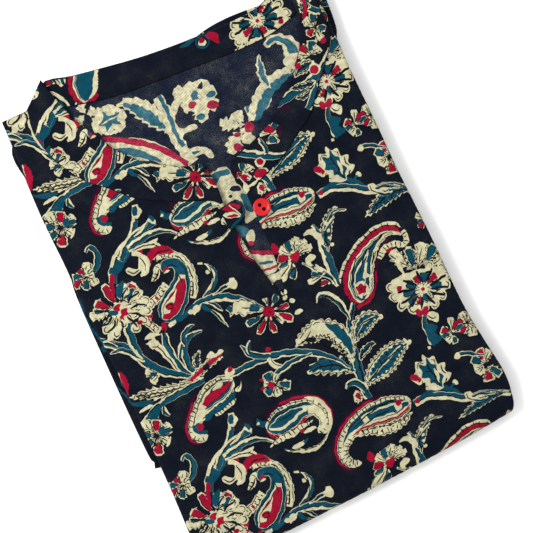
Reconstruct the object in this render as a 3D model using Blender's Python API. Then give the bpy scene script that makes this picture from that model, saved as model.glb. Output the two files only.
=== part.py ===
"""A women's cotton kurta tunic, folded flat and lying front up on a table.

Frame: metres, the bundle rests on z = 0 with its box centred over the origin, +Y points to the collar, +X to
the right of someone who looks down on it with the collar away from them. The tables are in millimetres, with
their own origin near the middle of the front; an empty then moves everything so that the box is centred.
"""

import math

import bmesh
import bpy
from mathutils import Vector

MM = 0.001

# Heights of the stack, in millimetres above the table.
FRONT_TOP = 14.6
WALL = 1.2
GAP = 0.3
BACK_TOP = 12.7
BACK_SINK, SINK_FROM, SINK_TO = 0.9, 108.8, 103.5
NECK_DIP = 0.7
SLEEVE_LOW, SLEEVE_HIGH = 7.4, 9.5
BAND_WALL = 1.0

# The front is one cloth: over the top, round the bottom fold and back along the underside.
FOLD_RADIUS = 5.8
FOLD_SLOPE_FROM, FOLD_SLOPE_TO = -128.0, -166.0
SIDE_RADIUS = 2.4
SIDE_TURN = 168.0
SIDE_FLAP = 7.0
UNDER_FOLD_Y, UNDER_FOLD_RADIUS, UNDER_FLAP = 160.0, 3.5, 6.0
UNDER_SIDE_RADIUS = 1.7
RIPPLE = 0.22

# Side edges of the upper leaf.   y, left x, right x
SIDES = (
    (186.0, -119.0, 119.5),
    (168.0, -119.5, 119.5),
    (110.0, -121.5, 118.5),
    (40.0, -121.5, 118.8),
    (0.0, -120.0, 119.3),
    (-75.0, -119.4, 120.3),
    (-105.0, -119.6, 122.6),
    (-136.0, -120.6, 126.2),
    (-154.0, -121.0, 124.6),
    (-176.0, -121.2, 119.0),
)
# Side edges of the leaf on the underside.   y, left x, right x
UNDER_SIDES = (
    (186.0, -116.5, 116.0),
    (120.0, -118.5, 117.5),
    (0.0, -119.5, 118.5),
    (-100.0, -119.2, 119.6),
    (-176.0, -120.5, 119.0),
)
# The bottom fold and the shoulder line.   x, y
FOLD_LINE = ((-122.0, -176.0), (-60.0, -174.0), (10.0, -171.5), (80.0, -167.5), (126.0, -163.0))
SHOULDER_LINE = (
    (-122.0, 170.0), (-100.0, 169.5), (-83.0, 185.0), (102.0, 182.5), (116.0, 169.0), (127.0, 168.0),
)  # fmt: skip
TOP_ROWS = (1.0, 0.95, 0.88, 0.79, 0.7, 0.6, 0.5, 0.4, 0.3, 0.21, 0.13, 0.07, 0.03)

# Front neck bands, from the shoulder to the slit.   neck edge x, y, seam x, y
BAND_LEFT = (
    (-82.0, 185.0, -99.5, 169.5),
    (-74.0, 155.0, -102.0, 151.0),
    (-62.0, 131.0, -96.0, 128.0),
    (-53.0, 116.0, -84.0, 108.0),
    (-44.0, 106.0, -71.0, 96.0),
    (-33.0, 97.0, -57.0, 82.0),
    (-13.5, 86.5, -39.0, 71.0),
    (-6.0, 85.0, -27.0, 65.5),
    (-2.6, 80.0, -19.0, 62.0),
    (-1.2, 66.0, -9.0, 57.5),
    (-2.2, 53.5, -4.2, 53.0),
)
BAND_RIGHT = (
    (102.0, 182.5, 116.0, 169.0),
    (104.0, 160.0, 116.5, 148.0),
    (97.0, 141.0, 115.0, 128.0),
    (89.0, 125.0, 105.0, 113.5),
    (81.0, 116.0, 93.0, 100.0),
    (72.0, 107.0, 80.0, 84.5),
    (62.0, 99.0, 67.0, 76.0),
    (49.0, 89.5, 54.0, 67.5),
    (34.0, 83.5, 43.0, 62.5),
    (23.0, 79.5, 33.0, 58.5),
    (14.0, 76.0, 26.0, 55.8),
    (11.6, 70.0, 21.0, 53.8),
    (13.4, 60.0, 17.6, 52.6),
    (15.2, 52.2, 15.9, 51.6),
)
# Back neck band, turned to the inside.   top edge x, y, seam x, y
BAND_BACK = (
    (-80.0, 182.6, -84.0, 163.0),
    (-62.0, 178.6, -65.0, 158.0),
    (-42.0, 175.0, -38.0, 152.5),
    (-15.0, 170.6, -10.0, 150.0),
    (10.0, 168.0, 12.0, 148.5),
    (35.0, 166.6, 35.0, 146.8),
    (59.0, 166.4, 57.0, 145.6),
    (80.0, 168.2, 79.0, 146.6),
    (100.0, 180.0, 100.0, 152.0),
)
# The slit below the bands.   y, left edge x, right edge x
SLIT = (
    (51.0, -2.8, 15.2),
    (41.0, -2.8, 15.0),
    (28.0, -1.2, 15.2),
    (12.0, 0.2, 14.8),
    (-2.0, 3.0, 13.8),
    (-13.0, 5.6, 12.6),
    (-19.0, 8.0, 11.2),
)
SLIT_END = (9.6, -21.5)

# Back panel: top edge.   x, y
BACK_EDGE = (
    (-117.0, 167.5), (-100.0, 168.5), (-82.0, 183.0), (-62.0, 179.0), (-42.0, 175.4), (-15.0, 171.0),
    (10.0, 168.4), (35.0, 167.0), (59.0, 166.8), (80.0, 168.6), (101.0, 181.0), (114.0, 168.0), (116.0, 167.0),
)  # fmt: skip
BACK_SIDE = 115.5
BACK_END = -126.0

# Sleeves, pressed flat across the back; the outer edge is the one that peeps out.   x, y
SLEEVE_LEFT = (
    (-6.0, 148.0), (-113.0, 156.0), (-118.6, 110.0), (-119.6, 62.0), (-122.9, 38.0), (-123.8, -6.0),
    (-123.9, -78.0), (-122.0, -91.0), (-116.0, -97.0), (-40.0, -104.0), (-9.0, -60.0),
)  # fmt: skip
SLEEVE_RIGHT = (
    (6.0, 148.0), (9.0, -64.0), (44.0, -118.0), (112.0, -116.0), (117.6, -107.0), (117.6, 60.0),
    (117.8, 117.0), (121.6, 132.0), (123.4, 150.0), (123.0, 163.0), (112.0, 166.0),
)  # fmt: skip

# The hidden layers share one solid with folded edges.   z, inset from the sides, inset from the ends
HIDDEN_RINGS = (
    (1.5, 17.0, 2.2),
    (1.8, 15.6, 0.8),
    (3.2, 14.8, 0.0),
    (4.6, 15.6, 0.8),
    (5.1, 17.0, 2.6),
    (5.15, 2.6, 2.4),
    (5.4, 1.4, 1.2),
    (5.9, 1.0, 0.8),
    (6.35, 1.4, 1.2),
    (6.6, 2.6, 2.4),
)
HIDDEN_HALF_WIDTH, HIDDEN_HIGH_Y, HIDDEN_CORNER = 118.6, 148.0, 9.0
HIDDEN_FROM_FOLD = 12.0

# Button and loop tab.
BUTTON_AT = (21.0, 39.0)
BUTTON_RADIUS, BUTTON_HEIGHT, BUTTON_RIM, BUTTON_DISH = 6.25, 2.7, 1.5, 0.6
HOLE_RADIUS, HOLE_REACH, HOLE_TURN = 0.85, 1.75, 112.0
LOOP_TAB = ((-7.0, 50.6), (7.0, 51.2), (10.2, 47.6), (9.4, 40.5), (5.0, 37.2), (-6.0, 33.2))
LOOP_CORNER = 2.2

NAVY = (0.0105, 0.0130, 0.0275)
FADED_NAVY = (0.024, 0.029, 0.044)
RED = (0.62, 0.016, 0.020)


# ---------------------------------------------------------------- small helpers


def smooth(t):
    t = min(max(t, 0.0), 1.0)
    return t * t * (3.0 - 2.0 * t)


def look_up(table, at, column=1):
    """Straight-line value of a column where the first column is at; the table may run up or down."""
    rows = sorted(table)
    for low, high in zip(rows, rows[1:]):
        if at <= high[0]:
            share = (at - low[0]) / (high[0] - low[0])
            return low[column] + (high[column] - low[column]) * min(max(share, 0.0), 1.0)
    return rows[-1][column]


def through(points, steps):
    """Points of a Catmull-Rom curve through the given rows, with steps in each span."""
    ends = [points[0], *points, points[-1]]
    curve = []
    for a, b, c, d in zip(ends, ends[1:], ends[2:], ends[3:]):
        for step in range(steps):
            t = step / steps
            curve.append(tuple(spline_value(p, t) for p in zip(a, b, c, d)))
    return [*curve, tuple(points[-1])]


def spline_value(p, t):
    a, b, c, d = p
    return 0.5 * (
        2 * b + (c - a) * t + (2 * a - 5 * b + 4 * c - d) * t**2 + (3 * b - a - 3 * c + d) * t**3
    )


def rounded(corners, radius, steps=3):
    """The polygon with each corner replaced by a short arc-like curve."""
    out = []
    for before, corner, after in zip(corners[-1:] + corners[:-1], corners, corners[1:] + corners[:1]):
        reach = [min(radius, 0.45 * math.dist(corner, other)) for other in (before, after)]
        ends = [
            tuple(c + (o - c) * r / math.dist(corner, other) for c, o in zip(corner, other))
            for r, other in zip(reach, (before, after))
        ]
        for step in range(steps + 1):
            t = step / steps
            weights = ((1 - t) ** 2, 2 * t * (1 - t), t**2)
            out.append(tuple(sum(w * p[k] for w, p in zip(weights, (ends[0], corner, ends[1]))) for k in (0, 1)))
    return out


def material(name, colour, roughness):
    made = bpy.data.materials.new(name)
    made.use_nodes = True
    shader = made.node_tree.nodes["Principled BSDF"]
    shader.inputs["Base Color"].default_value = (*colour, 1.0)
    shader.inputs["Roughness"].default_value = roughness
    return made


def add_object(name, bm, finish):
    bmesh.ops.recalc_face_normals(bm, faces=bm.faces)
    mesh = bpy.data.meshes.new(name)
    bm.to_mesh(mesh)
    bm.free()
    mesh.materials.append(finish)
    made = bpy.data.objects.new(name, mesh)
    bpy.context.scene.collection.objects.link(made)
    return made


def grid(rows):
    """A bmesh of quads over rows of (x, y, z) points in millimetres."""
    bm = bmesh.new()
    made = [[bm.verts.new([MM * value for value in point]) for point in row] for row in rows]
    for low, high in zip(made, made[1:]):
        for a, b, c, d in zip(low, low[1:], high[1:], high):
            bm.faces.new((a, b, c, d))
    return bm


def faces_up(bm):
    """Turns the faces so that the ones over the highest points look up."""
    bmesh.ops.recalc_face_normals(bm, faces=bm.faces)
    top = max(bm.faces, key=lambda face: face.calc_center_median().z + abs(face.normal.z) * MM)
    if top.normal.z < 0:
        bmesh.ops.reverse_faces(bm, faces=bm.faces)


def cloth_wall(name, rows, wall, offset, finish):
    """A sheet over rows of points, thickened downwards (offset -1) or upwards (offset 1)."""
    bm = grid(rows)
    faces_up(bm)
    mesh = bpy.data.meshes.new(name)
    bm.to_mesh(mesh)
    bm.free()
    mesh.materials.append(finish)
    made = bpy.data.objects.new(name, mesh)
    bpy.context.scene.collection.objects.link(made)
    thicken = made.modifiers.new("Wall", "SOLIDIFY")
    thicken.thickness = wall * MM
    thicken.offset = offset
    thicken.use_even_offset = True
    return made


def prism(name, outline, low, high, finish=None):
    """A closed outline pulled up from low to high."""
    bm = bmesh.new()
    floor = bm.faces.new([bm.verts.new((x * MM, y * MM, low * MM)) for x, y in outline])
    pulled = bmesh.ops.extrude_face_region(bm, geom=[floor])
    risen = [item for item in pulled["geom"] if isinstance(item, bmesh.types.BMVert)]
    bmesh.ops.translate(bm, verts=risen, vec=(0, 0, (high - low) * MM))
    return add_object(name, bm, finish)


def cut(target, cutter):
    cutter.hide_render = True
    cutter.display_type = "WIRE"
    hole = target.modifiers.new("Cut " + cutter.name, "BOOLEAN")
    hole.operation = "DIFFERENCE"
    hole.solver = "EXACT"
    hole.object = cutter


# ---------------------------------------------------------------- heights of the cloth


def front_height(x, y):
    """Outer surface of the upper leaf away from its side folds: level, with slow ripples, lower at the fold."""
    slope = smooth((FOLD_SLOPE_FROM - y) / (FOLD_SLOPE_FROM - FOLD_SLOPE_TO))
    ripple = RIPPLE * (math.sin(x / 31.0 + y / 47.0) + 0.6 * math.sin(y / 29.0 - x / 53.0))
    calm = smooth((176.0 - y) / 30.0) * smooth((y + 170.0) / 40.0)
    return FRONT_TOP - slope * (FRONT_TOP - 2 * FOLD_RADIUS) + ripple * calm


def back_height(x, y):
    """Upper surface of the back panel: lower between the side folds, and a little more inside the neck."""
    sink = smooth((SINK_FROM - abs(x)) / (SINK_FROM - SINK_TO))
    neck = math.exp(-(((x - 10.0) / 44.0) ** 2) - ((y - 116.0) / 24.0) ** 2)
    return BACK_TOP - BACK_SINK * sink - NECK_DIP * neck


# ---------------------------------------------------------------- the pieces


def side_section(left, right, radius=SIDE_RADIUS, across=15):
    """(x, depth) pairs across a leaf: flap, side fold, flat stretch, side fold, flap."""
    turns = [math.radians(SIDE_TURN * k / 6) for k in range(6, 0, -1)]
    edge = [(radius * (1 - math.sin(turn)), radius * (1 - math.cos(turn))) for turn in turns]
    edge.insert(0, (edge[0][0] + SIDE_FLAP, edge[0][1]))
    start, end = left + radius, right - radius
    flat = [(start + (end - start) * k / across, 0.0) for k in range(across + 1)]
    return [*((left + x, d) for x, d in edge), *flat, *((right - x, d) for x, d in reversed(edge))]


def upper_rows():
    """Rows of the upper leaf from the shoulder to the bottom fold."""
    rows = []
    for share in TOP_ROWS:
        row_y = look_up(FOLD_LINE, 0.0) + share * (168.0 - look_up(FOLD_LINE, 0.0))
        section = side_section(look_up(SIDES, row_y, 1), look_up(SIDES, row_y, 2))
        row = []
        for x, depth in section:
            foot = look_up(FOLD_LINE, x) + FOLD_RADIUS
            y = foot + share * (look_up(SHOULDER_LINE, x) - foot)
            row.append((x, y, front_height(x, y) - depth))
        rows.append(row)
    return rows


def fold_rows(radius, line, under, steps, section):
    """Rows round a fold; under is -1 where the fold is at low y, 1 where it is at high y."""
    rows = []
    for step in range(steps + 1):
        turn = math.pi * step / steps
        row = []
        for x, depth in section:
            reach = radius - depth
            y = look_up(line, x) - under * radius + under * reach * math.sin(turn)
            row.append((x, y, radius + reach * math.cos(turn)))
        rows.append(row)
    return rows


def under_rows():
    """Rows of the underside leaf from the bottom fold to its own fold near the shoulders."""
    rows = []
    for share in (0.12, 0.3, 0.5, 0.7, 0.88):
        row_y = -176.0 + share * (UNDER_FOLD_Y + 176.0)
        section = side_section(look_up(UNDER_SIDES, row_y, 1), look_up(UNDER_SIDES, row_y, 2))
        row = []
        for x, depth in section:
            foot = look_up(FOLD_LINE, x) + FOLD_RADIUS
            row.append((x, foot + share * (UNDER_FOLD_Y - UNDER_FOLD_RADIUS - foot), depth))
        rows.append(row)
    return rows


def make_front(finish):
    bottom_section = side_section(look_up(SIDES, -168.0, 1), look_up(SIDES, -168.0, 2))
    bottom = fold_rows(FOLD_RADIUS, FOLD_LINE, -1, 8, bottom_section)
    top_line = ((-130.0, UNDER_FOLD_Y), (130.0, UNDER_FOLD_Y))
    top_sides = (look_up(UNDER_SIDES, 165.0, 1), look_up(UNDER_SIDES, 165.0, 2))
    top_section = side_section(*top_sides, UNDER_SIDE_RADIUS)
    top = fold_rows(UNDER_FOLD_RADIUS, top_line, 1, 6, top_section)[::-1]
    flap = [(x, y - UNDER_FLAP, z) for x, y, z in top[-1]]
    front = cloth_wall(
        "front_panel", [*upper_rows(), *bottom, *under_rows(), *top, flap], WALL, -1, finish
    )
    cut(front, prism("neck_cutter", neck_outline(), FRONT_TOP - WALL - 0.7, FRONT_TOP + 6.0))
    return front


def neck_outline():
    """Edge of the neck and the slit in the front, from the left shoulder round to the right one."""
    left = [row[:2] for row in through(BAND_LEFT, 2)]
    right = [row[:2] for row in through(BAND_RIGHT, 2)]
    slit_left = [(x, y) for y, x, _ in SLIT]
    slit_right = [(x, y) for y, _, x in reversed(SLIT)]
    above = [(108.0, 196.0), (-88.0, 196.0)]
    return [*left, *slit_left, SLIT_END, *slit_right, *right[::-1], *above]


def make_back(finish):
    """The back under the front, from the shoulders to near the bottom fold."""
    shares = (1.0, 0.96, 0.91, 0.86, 0.81, 0.76, 0.7, 0.6, 0.4, 0.2, 0.0)
    margin = [BACK_SIDE, SINK_FROM, 0.5 * (SINK_FROM + SINK_TO), SINK_TO]
    middle = [0.95 * SINK_TO * (2 * k / 18 - 1) for k in range(19)]
    columns = [*(-x for x in margin), *middle, *reversed(margin)]
    rows = []
    for share in shares:
        row = []
        for x in columns:
            y = BACK_END + share * (look_up(BACK_EDGE, x) - BACK_END)
            row.append((x, y, back_height(x, y)))
        rows.append(row)
    return cloth_wall("back_panel", rows, WALL, -1, finish)


def make_band(name, table, height, finish, across=4):
    """A neck band: a strip between its neck edge and its seam, lying on the cloth under it."""
    rows = []
    for neck_x, neck_y, seam_x, seam_y in through(table, 2):
        row = []
        for k in range(across + 1):
            x = neck_x + (seam_x - neck_x) * k / across
            y = neck_y + (seam_y - neck_y) * k / across
            row.append((x, y, height(x, y) + GAP))
        rows.append(row)
    return cloth_wall(name, rows, BAND_WALL, 1, finish)


def pressed_fold(name, outline, low, high, finish):
    """A folded piece of cloth, pressed flat, with round edges."""
    bm = bmesh.new()
    half = (high - low) / 2
    floor = bm.faces.new([bm.verts.new((x * MM, y * MM, low * MM)) for x, y in rounded(list(outline), 8.0)])
    pulled = bmesh.ops.extrude_face_region(bm, geom=[floor])
    risen = [item for item in pulled["geom"] if isinstance(item, bmesh.types.BMVert)]
    bmesh.ops.translate(bm, verts=risen, vec=(0, 0, 2 * half * MM))
    made = add_object(name, bm, finish)
    edge = made.modifiers.new("Fold", "BEVEL")
    edge.width = half * 0.92 * MM
    edge.segments = 3
    edge.limit_method = "ANGLE"
    edge.angle_limit = math.radians(60)
    return made


def make_hidden(finish):
    """Side flaps, lower back and hem third as one solid, with a fold standing out at each edge."""
    loops = []
    bm = bmesh.new()
    for z, side, end in HIDDEN_RINGS:
        half = HIDDEN_HALF_WIDTH - side
        low = [look_up(FOLD_LINE, x) + HIDDEN_FROM_FOLD + end for x in (-half, half)]
        high = HIDDEN_HIGH_Y - end
        corners = [(-half, low[0]), (half, low[1]), (half, high), (-half, high)]
        loops.append([bm.verts.new((x * MM, y * MM, z * MM)) for x, y in rounded(corners, HIDDEN_CORNER, 4)])
    for low, high in zip(loops, loops[1:]):
        for k in range(len(low)):
            bm.faces.new((low[k - 1], low[k], high[k], high[k - 1]))
    bm.faces.new(loops[0])
    bm.faces.new(loops[-1])
    return add_object("folded_layers", bm, finish)


def make_loop_tab(finish):
    """The loop's tab: sewn on the left edge of the slit, reaching over it."""
    low = FRONT_TOP + 2 * RIPPLE + GAP
    bm = bmesh.new()
    outline = rounded(list(LOOP_TAB), LOOP_CORNER)
    floor = bm.faces.new([bm.verts.new((x * MM, y * MM, low * MM)) for x, y in outline])
    pulled = bmesh.ops.extrude_face_region(bm, geom=[floor])
    risen = [item for item in pulled["geom"] if isinstance(item, bmesh.types.BMVert)]
    bmesh.ops.translate(bm, verts=risen, vec=(0, 0, BAND_WALL * MM))
    return add_object("button_loop", bm, finish)


def make_button(finish):
    """A round two-hole button with a raised rim and a dished middle."""
    low = FRONT_TOP + 2 * RIPPLE + GAP
    profile = (
        (0.0, 0.0), (4.2, 0.0), (5.6, 0.5), (BUTTON_RADIUS, 1.2), (BUTTON_RADIUS, 1.8), (5.8, 2.4),
        (5.2, BUTTON_HEIGHT), (4.8, BUTTON_HEIGHT), (BUTTON_RADIUS - BUTTON_RIM - 0.5, BUTTON_HEIGHT - BUTTON_DISH),
        (0.0, BUTTON_HEIGHT - BUTTON_DISH),
    )  # fmt: skip
    bm = bmesh.new()
    line = [bm.verts.new((r * MM, 0, z * MM)) for r, z in profile]
    edges = [bm.edges.new(pair) for pair in zip(line, line[1:])]
    bmesh.ops.spin(bm, geom=[*line, *edges], axis=(0, 0, 1), cent=(0, 0, 0), steps=40, angle=math.tau)
    bmesh.ops.remove_doubles(bm, verts=bm.verts, dist=1e-6)
    bmesh.ops.dissolve_degenerate(bm, edges=bm.edges, dist=1e-6)
    button = add_object("button", bm, finish)
    button.location = (BUTTON_AT[0] * MM, BUTTON_AT[1] * MM, low * MM)
    for side in (-1, 1):
        x = BUTTON_AT[0] + side * HOLE_REACH * math.cos(math.radians(HOLE_TURN))
        y = BUTTON_AT[1] + side * HOLE_REACH * math.sin(math.radians(HOLE_TURN))
        ring = [math.tau * k / 16 for k in range(16)]
        outline = [(x + HOLE_RADIUS * math.cos(t), y + HOLE_RADIUS * math.sin(t)) for t in ring]
        cut(button, prism(f"hole_cutter_{side + 1}", outline, low - 1.0, low + BUTTON_HEIGHT + 1.0))
    return button


def centre_on_origin():
    """Hangs every object on one empty, placed so that the bundle's box is centred over the origin."""
    bpy.context.view_layer.update()
    graph = bpy.context.evaluated_depsgraph_get()
    pieces = [piece for piece in bpy.data.objects if not piece.hide_render]
    shown = [piece.evaluated_get(graph) for piece in pieces]
    corners = [piece.matrix_world @ Vector(corner) for piece in shown for corner in piece.bound_box]
    holder = bpy.data.objects.new("kurta", None)
    bpy.context.scene.collection.objects.link(holder)
    for piece in [item for item in bpy.data.objects if item is not holder]:
        piece.parent = holder
    for axis in (0, 1):
        values = [corner[axis] for corner in corners]
        holder.location[axis] = -0.5 * (min(values) + max(values))


def main():
    for old in list(bpy.data.objects):
        bpy.data.objects.remove(old, do_unlink=True)
    cotton = material("printed_cotton", NAVY, 0.85)
    wrong_side = material("printed_cotton_wrong_side", FADED_NAVY, 0.9)
    red = material("red_plastic", RED, 0.35)
    make_front(cotton)
    make_back(wrong_side)
    make_hidden(cotton)
    pressed_fold("sleeve_left", SLEEVE_LEFT, SLEEVE_LOW, SLEEVE_HIGH, cotton)
    pressed_fold("sleeve_right", SLEEVE_RIGHT, SLEEVE_LOW, SLEEVE_HIGH, cotton)
    make_band("neck_band_left", BAND_LEFT, front_height, cotton)
    make_band("neck_band_right", BAND_RIGHT, front_height, cotton)
    make_band("neck_band_back", BAND_BACK, back_height, cotton, across=3)
    make_loop_tab(cotton)
    make_button(red)
    centre_on_origin()


main()
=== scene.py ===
"""Looks of the folded kurta tunic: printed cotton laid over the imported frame, its button, and the stage.

Lengths are in millimetres, in the garment's own axes (+Y to the collar), until to_frame() turns them into the
frame's metres. The print is drawn as outlines, which become edges of each cloth's mesh.
"""

import math

import bpy
import numpy as np
from mathutils import Matrix, Vector, geometry


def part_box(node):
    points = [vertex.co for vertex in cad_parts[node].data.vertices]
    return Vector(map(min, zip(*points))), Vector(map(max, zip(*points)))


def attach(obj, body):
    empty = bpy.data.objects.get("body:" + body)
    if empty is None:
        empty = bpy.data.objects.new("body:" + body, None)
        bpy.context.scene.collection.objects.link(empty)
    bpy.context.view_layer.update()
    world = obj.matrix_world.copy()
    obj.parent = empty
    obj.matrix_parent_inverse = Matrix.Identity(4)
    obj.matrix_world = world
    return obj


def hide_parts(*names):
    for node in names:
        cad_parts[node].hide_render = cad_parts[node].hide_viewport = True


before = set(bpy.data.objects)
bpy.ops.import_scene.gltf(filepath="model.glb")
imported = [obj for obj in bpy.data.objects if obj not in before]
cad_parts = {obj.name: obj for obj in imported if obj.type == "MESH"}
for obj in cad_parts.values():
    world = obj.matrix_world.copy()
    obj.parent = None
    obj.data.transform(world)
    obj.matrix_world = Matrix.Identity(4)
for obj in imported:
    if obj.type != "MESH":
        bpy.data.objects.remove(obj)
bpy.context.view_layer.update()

MM = 0.001

# ------------------------------------------------------------------ sizes, from the frame and the cut


def box_mm(node):
    return [np.array(corner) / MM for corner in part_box(node)]


BUTTON_LOW, BUTTON_HIGH = box_mm("button")
BUTTON_AT = np.array((21.0, 39.0))
ORIGIN = np.array([*((BUTTON_LOW + BUTTON_HIGH)[:2] / 2 - BUTTON_AT), 0.0])
BUTTON_RADIUS = (BUTTON_HIGH - BUTTON_LOW)[0] / 2
RIPPLE = 0.22
GAP = 0.3
FRONT_TOP = BUTTON_LOW[2] - 2 * RIPPLE - GAP
BACK_TOP = box_mm("back_panel")[1][2]
BACK_SINK, SINK_FROM, SINK_TO = 0.9, 108.8, 103.5
NECK_DIP = 0.7
SLEEVE_LOW, SLEEVE_HIGH = (corner[2] for corner in box_mm("sleeve_left"))
BAND_WALL = 1.0

FOLD_RADIUS = 5.8
SIDE_RADIUS = 2.4
SIDE_TURN = math.radians(168.0)
SIDE_FLAP = 7.0
UNDER_FOLD_Y, UNDER_FOLD_RADIUS, UNDER_FLAP = 160.0, 3.5, 6.0
SHOULDER_RADIUS = 2.4
# Where the upper leaf starts to roll down to the bottom fold
SLOPE_FROM = -128.0

# Side edges of the upper leaf and of the leaf on the underside.   y, left x, right x
SIDES = (
    (186.0, -119.0, 119.5), (168.0, -119.5, 119.5), (110.0, -121.5, 118.5), (40.0, -121.5, 118.8),
    (0.0, -120.0, 119.3), (-75.0, -119.4, 120.3), (-105.0, -119.6, 122.6), (-136.0, -120.6, 126.2),
    (-154.0, -121.0, 124.6), (-176.0, -121.2, 119.0),
)  # fmt: skip
UNDER_SIDES = (
    (-176.0, -120.5, 119.0), (-100.0, -119.2, 119.6), (0.0, -119.5, 118.5), (120.0, -118.5, 117.5),
    (186.0, -116.5, 116.0),
)  # fmt: skip
# The bottom fold and the shoulder line.   x, y
FOLD_LINE = ((-122.0, -176.0), (-60.0, -174.0), (10.0, -171.5), (80.0, -167.5), (126.0, -163.0))
SHOULDER_LINE = (
    (-122.0, 170.0), (-100.0, 169.5), (-83.0, 185.0), (102.0, 182.5), (116.0, 169.0), (127.0, 168.0),
)  # fmt: skip
# Neck bands.   free edge x, y, seam x, y
BAND_LEFT = (
    (-82.0, 185.0, -99.5, 169.5), (-74.0, 155.0, -102.0, 151.0), (-62.0, 131.0, -96.0, 128.0),
    (-53.0, 116.0, -84.0, 108.0), (-44.0, 106.0, -71.0, 96.0), (-33.0, 97.0, -57.0, 82.0),
    (-13.5, 86.5, -39.0, 71.0), (-6.0, 85.0, -27.0, 65.5), (-2.6, 80.0, -19.0, 62.0),
    (-1.2, 66.0, -9.0, 57.5), (-2.2, 53.5, -4.2, 53.0),
)  # fmt: skip
BAND_RIGHT = (
    (102.0, 182.5, 116.0, 169.0), (104.0, 160.0, 116.5, 148.0), (97.0, 141.0, 115.0, 128.0),
    (89.0, 125.0, 105.0, 113.5), (81.0, 116.0, 93.0, 100.0), (72.0, 107.0, 80.0, 84.5),
    (62.0, 99.0, 67.0, 76.0), (49.0, 89.5, 54.0, 67.5), (34.0, 83.5, 43.0, 62.5),
    (23.0, 79.5, 33.0, 58.5), (14.0, 76.0, 26.0, 55.8), (11.6, 70.0, 21.0, 53.8),
    (13.4, 60.0, 17.6, 52.6), (15.2, 52.2, 15.9, 51.6),
)  # fmt: skip
BAND_BACK = (
    (-80.0, 182.6, -84.0, 163.0), (-62.0, 178.6, -65.0, 158.0), (-42.0, 175.0, -38.0, 152.5),
    (-15.0, 170.6, -10.0, 150.0), (10.0, 168.0, 12.0, 148.5), (35.0, 166.6, 35.0, 146.8),
    (59.0, 166.4, 57.0, 145.6), (80.0, 168.2, 79.0, 146.6), (100.0, 180.0, 100.0, 152.0),
)  # fmt: skip
# The slit below the bands.   y, left edge x, right edge x
SLIT = (
    (51.0, -2.8, 15.2), (41.0, -2.8, 15.0), (28.0, -1.2, 15.2), (12.0, 0.2, 14.8), (-2.0, 3.0, 13.8),
    (-13.0, 5.6, 12.6), (-19.0, 8.0, 11.2),
)  # fmt: skip
SLIT_END = (9.6, -21.5)
BACK_EDGE = (
    (-117.0, 167.5), (-100.0, 168.5), (-82.0, 183.0), (-62.0, 179.0), (-42.0, 175.4), (-15.0, 171.0),
    (10.0, 168.4), (35.0, 167.0), (59.0, 166.8), (80.0, 168.6), (101.0, 181.0), (114.0, 168.0),
    (116.0, 167.0),
)  # fmt: skip
BACK_SIDE, BACK_END = 115.5, -126.0
SLEEVE_LEFT = (
    (-6.0, 148.0), (-113.0, 156.0), (-118.6, 110.0), (-119.6, 62.0), (-122.9, 38.0), (-123.8, -6.0),
    (-123.9, -78.0), (-122.0, -91.0), (-116.0, -97.0), (-40.0, -104.0), (-9.0, -60.0),
)  # fmt: skip
SLEEVE_RIGHT = (
    (6.0, 148.0), (9.0, -64.0), (44.0, -118.0), (112.0, -116.0), (117.6, -107.0), (117.6, 60.0),
    (117.8, 117.0), (121.6, 132.0), (123.4, 150.0), (123.0, 163.0), (112.0, 166.0),
)  # fmt: skip
LOOP_TAB = ((-7.0, 50.6), (7.0, 51.2), (10.2, 47.6), (9.4, 40.5), (5.0, 37.2), (-6.0, 33.2))

# Inks, as codes on the faces.
NAVY, CREAM, TEAL, RED, LINE, MAROON = range(6)
# After how much the printing block repeats, across and along the cloth
REPEAT = np.array((256.0, 160.0))

# ------------------------------------------------------------------ curves


def smooth(t):
    t = np.clip(t, 0.0, 1.0)
    return t * t * (3.0 - 2.0 * t)


def through(points, step, closed=False):
    """Points of a Catmull-Rom curve through the rows, about step apart."""
    p = np.asarray(points, float)
    if closed:
        ends = np.vstack([p[-1:], p, p[:2]])
    else:
        ends = np.vstack([2 * p[:1] - p[1:2], p, 2 * p[-1:] - p[-2:-1]])
    out = []
    for k in range(len(p) if closed else len(p) - 1):
        a, b, c, d = ends[k : k + 4]
        count = max(2, math.ceil(math.dist(b[:2], c[:2]) / step))
        t = np.arange(count)[:, None] / count
        out.append(
            0.5 * (2 * b + (c - a) * t + (2 * a - 5 * b + 4 * c - d) * t**2 + (3 * b - a - 3 * c + d) * t**3)
        )
    if not closed:
        out.append(p[-1:])
    return np.vstack(out)


def table(rows, at, column=1):
    """A column of a table, read along a smooth curve through its rows."""
    fine = through(sorted(rows), 2.0)
    return np.interp(at, fine[:, 0], fine[:, column])


class Spine:
    """A curve with a normal to its left, read by the share t of its length."""

    def __init__(self, points, step=1.5):
        self.points = through(points, step)
        ahead = np.gradient(self.points, axis=0)
        ahead /= np.linalg.norm(ahead, axis=1, keepdims=True)
        self.left = np.stack([-ahead[:, 1], ahead[:, 0]], 1)
        run = np.r_[0, np.cumsum(np.linalg.norm(np.diff(self.points, axis=0), axis=1))]
        self.length = run[-1]
        self.share = run / run[-1]

    def at(self, t, off=0.0):
        t = np.atleast_1d(np.asarray(t, float))
        point = np.stack([np.interp(t, self.share, self.points[:, k]) for k in (0, 1)], 1)
        left = np.stack([np.interp(t, self.share, self.left[:, k]) for k in (0, 1)], 1)
        return point + left * np.broadcast_to(off, t.shape)[:, None]


# ------------------------------------------------------------------ drawing kit for the print

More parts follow.
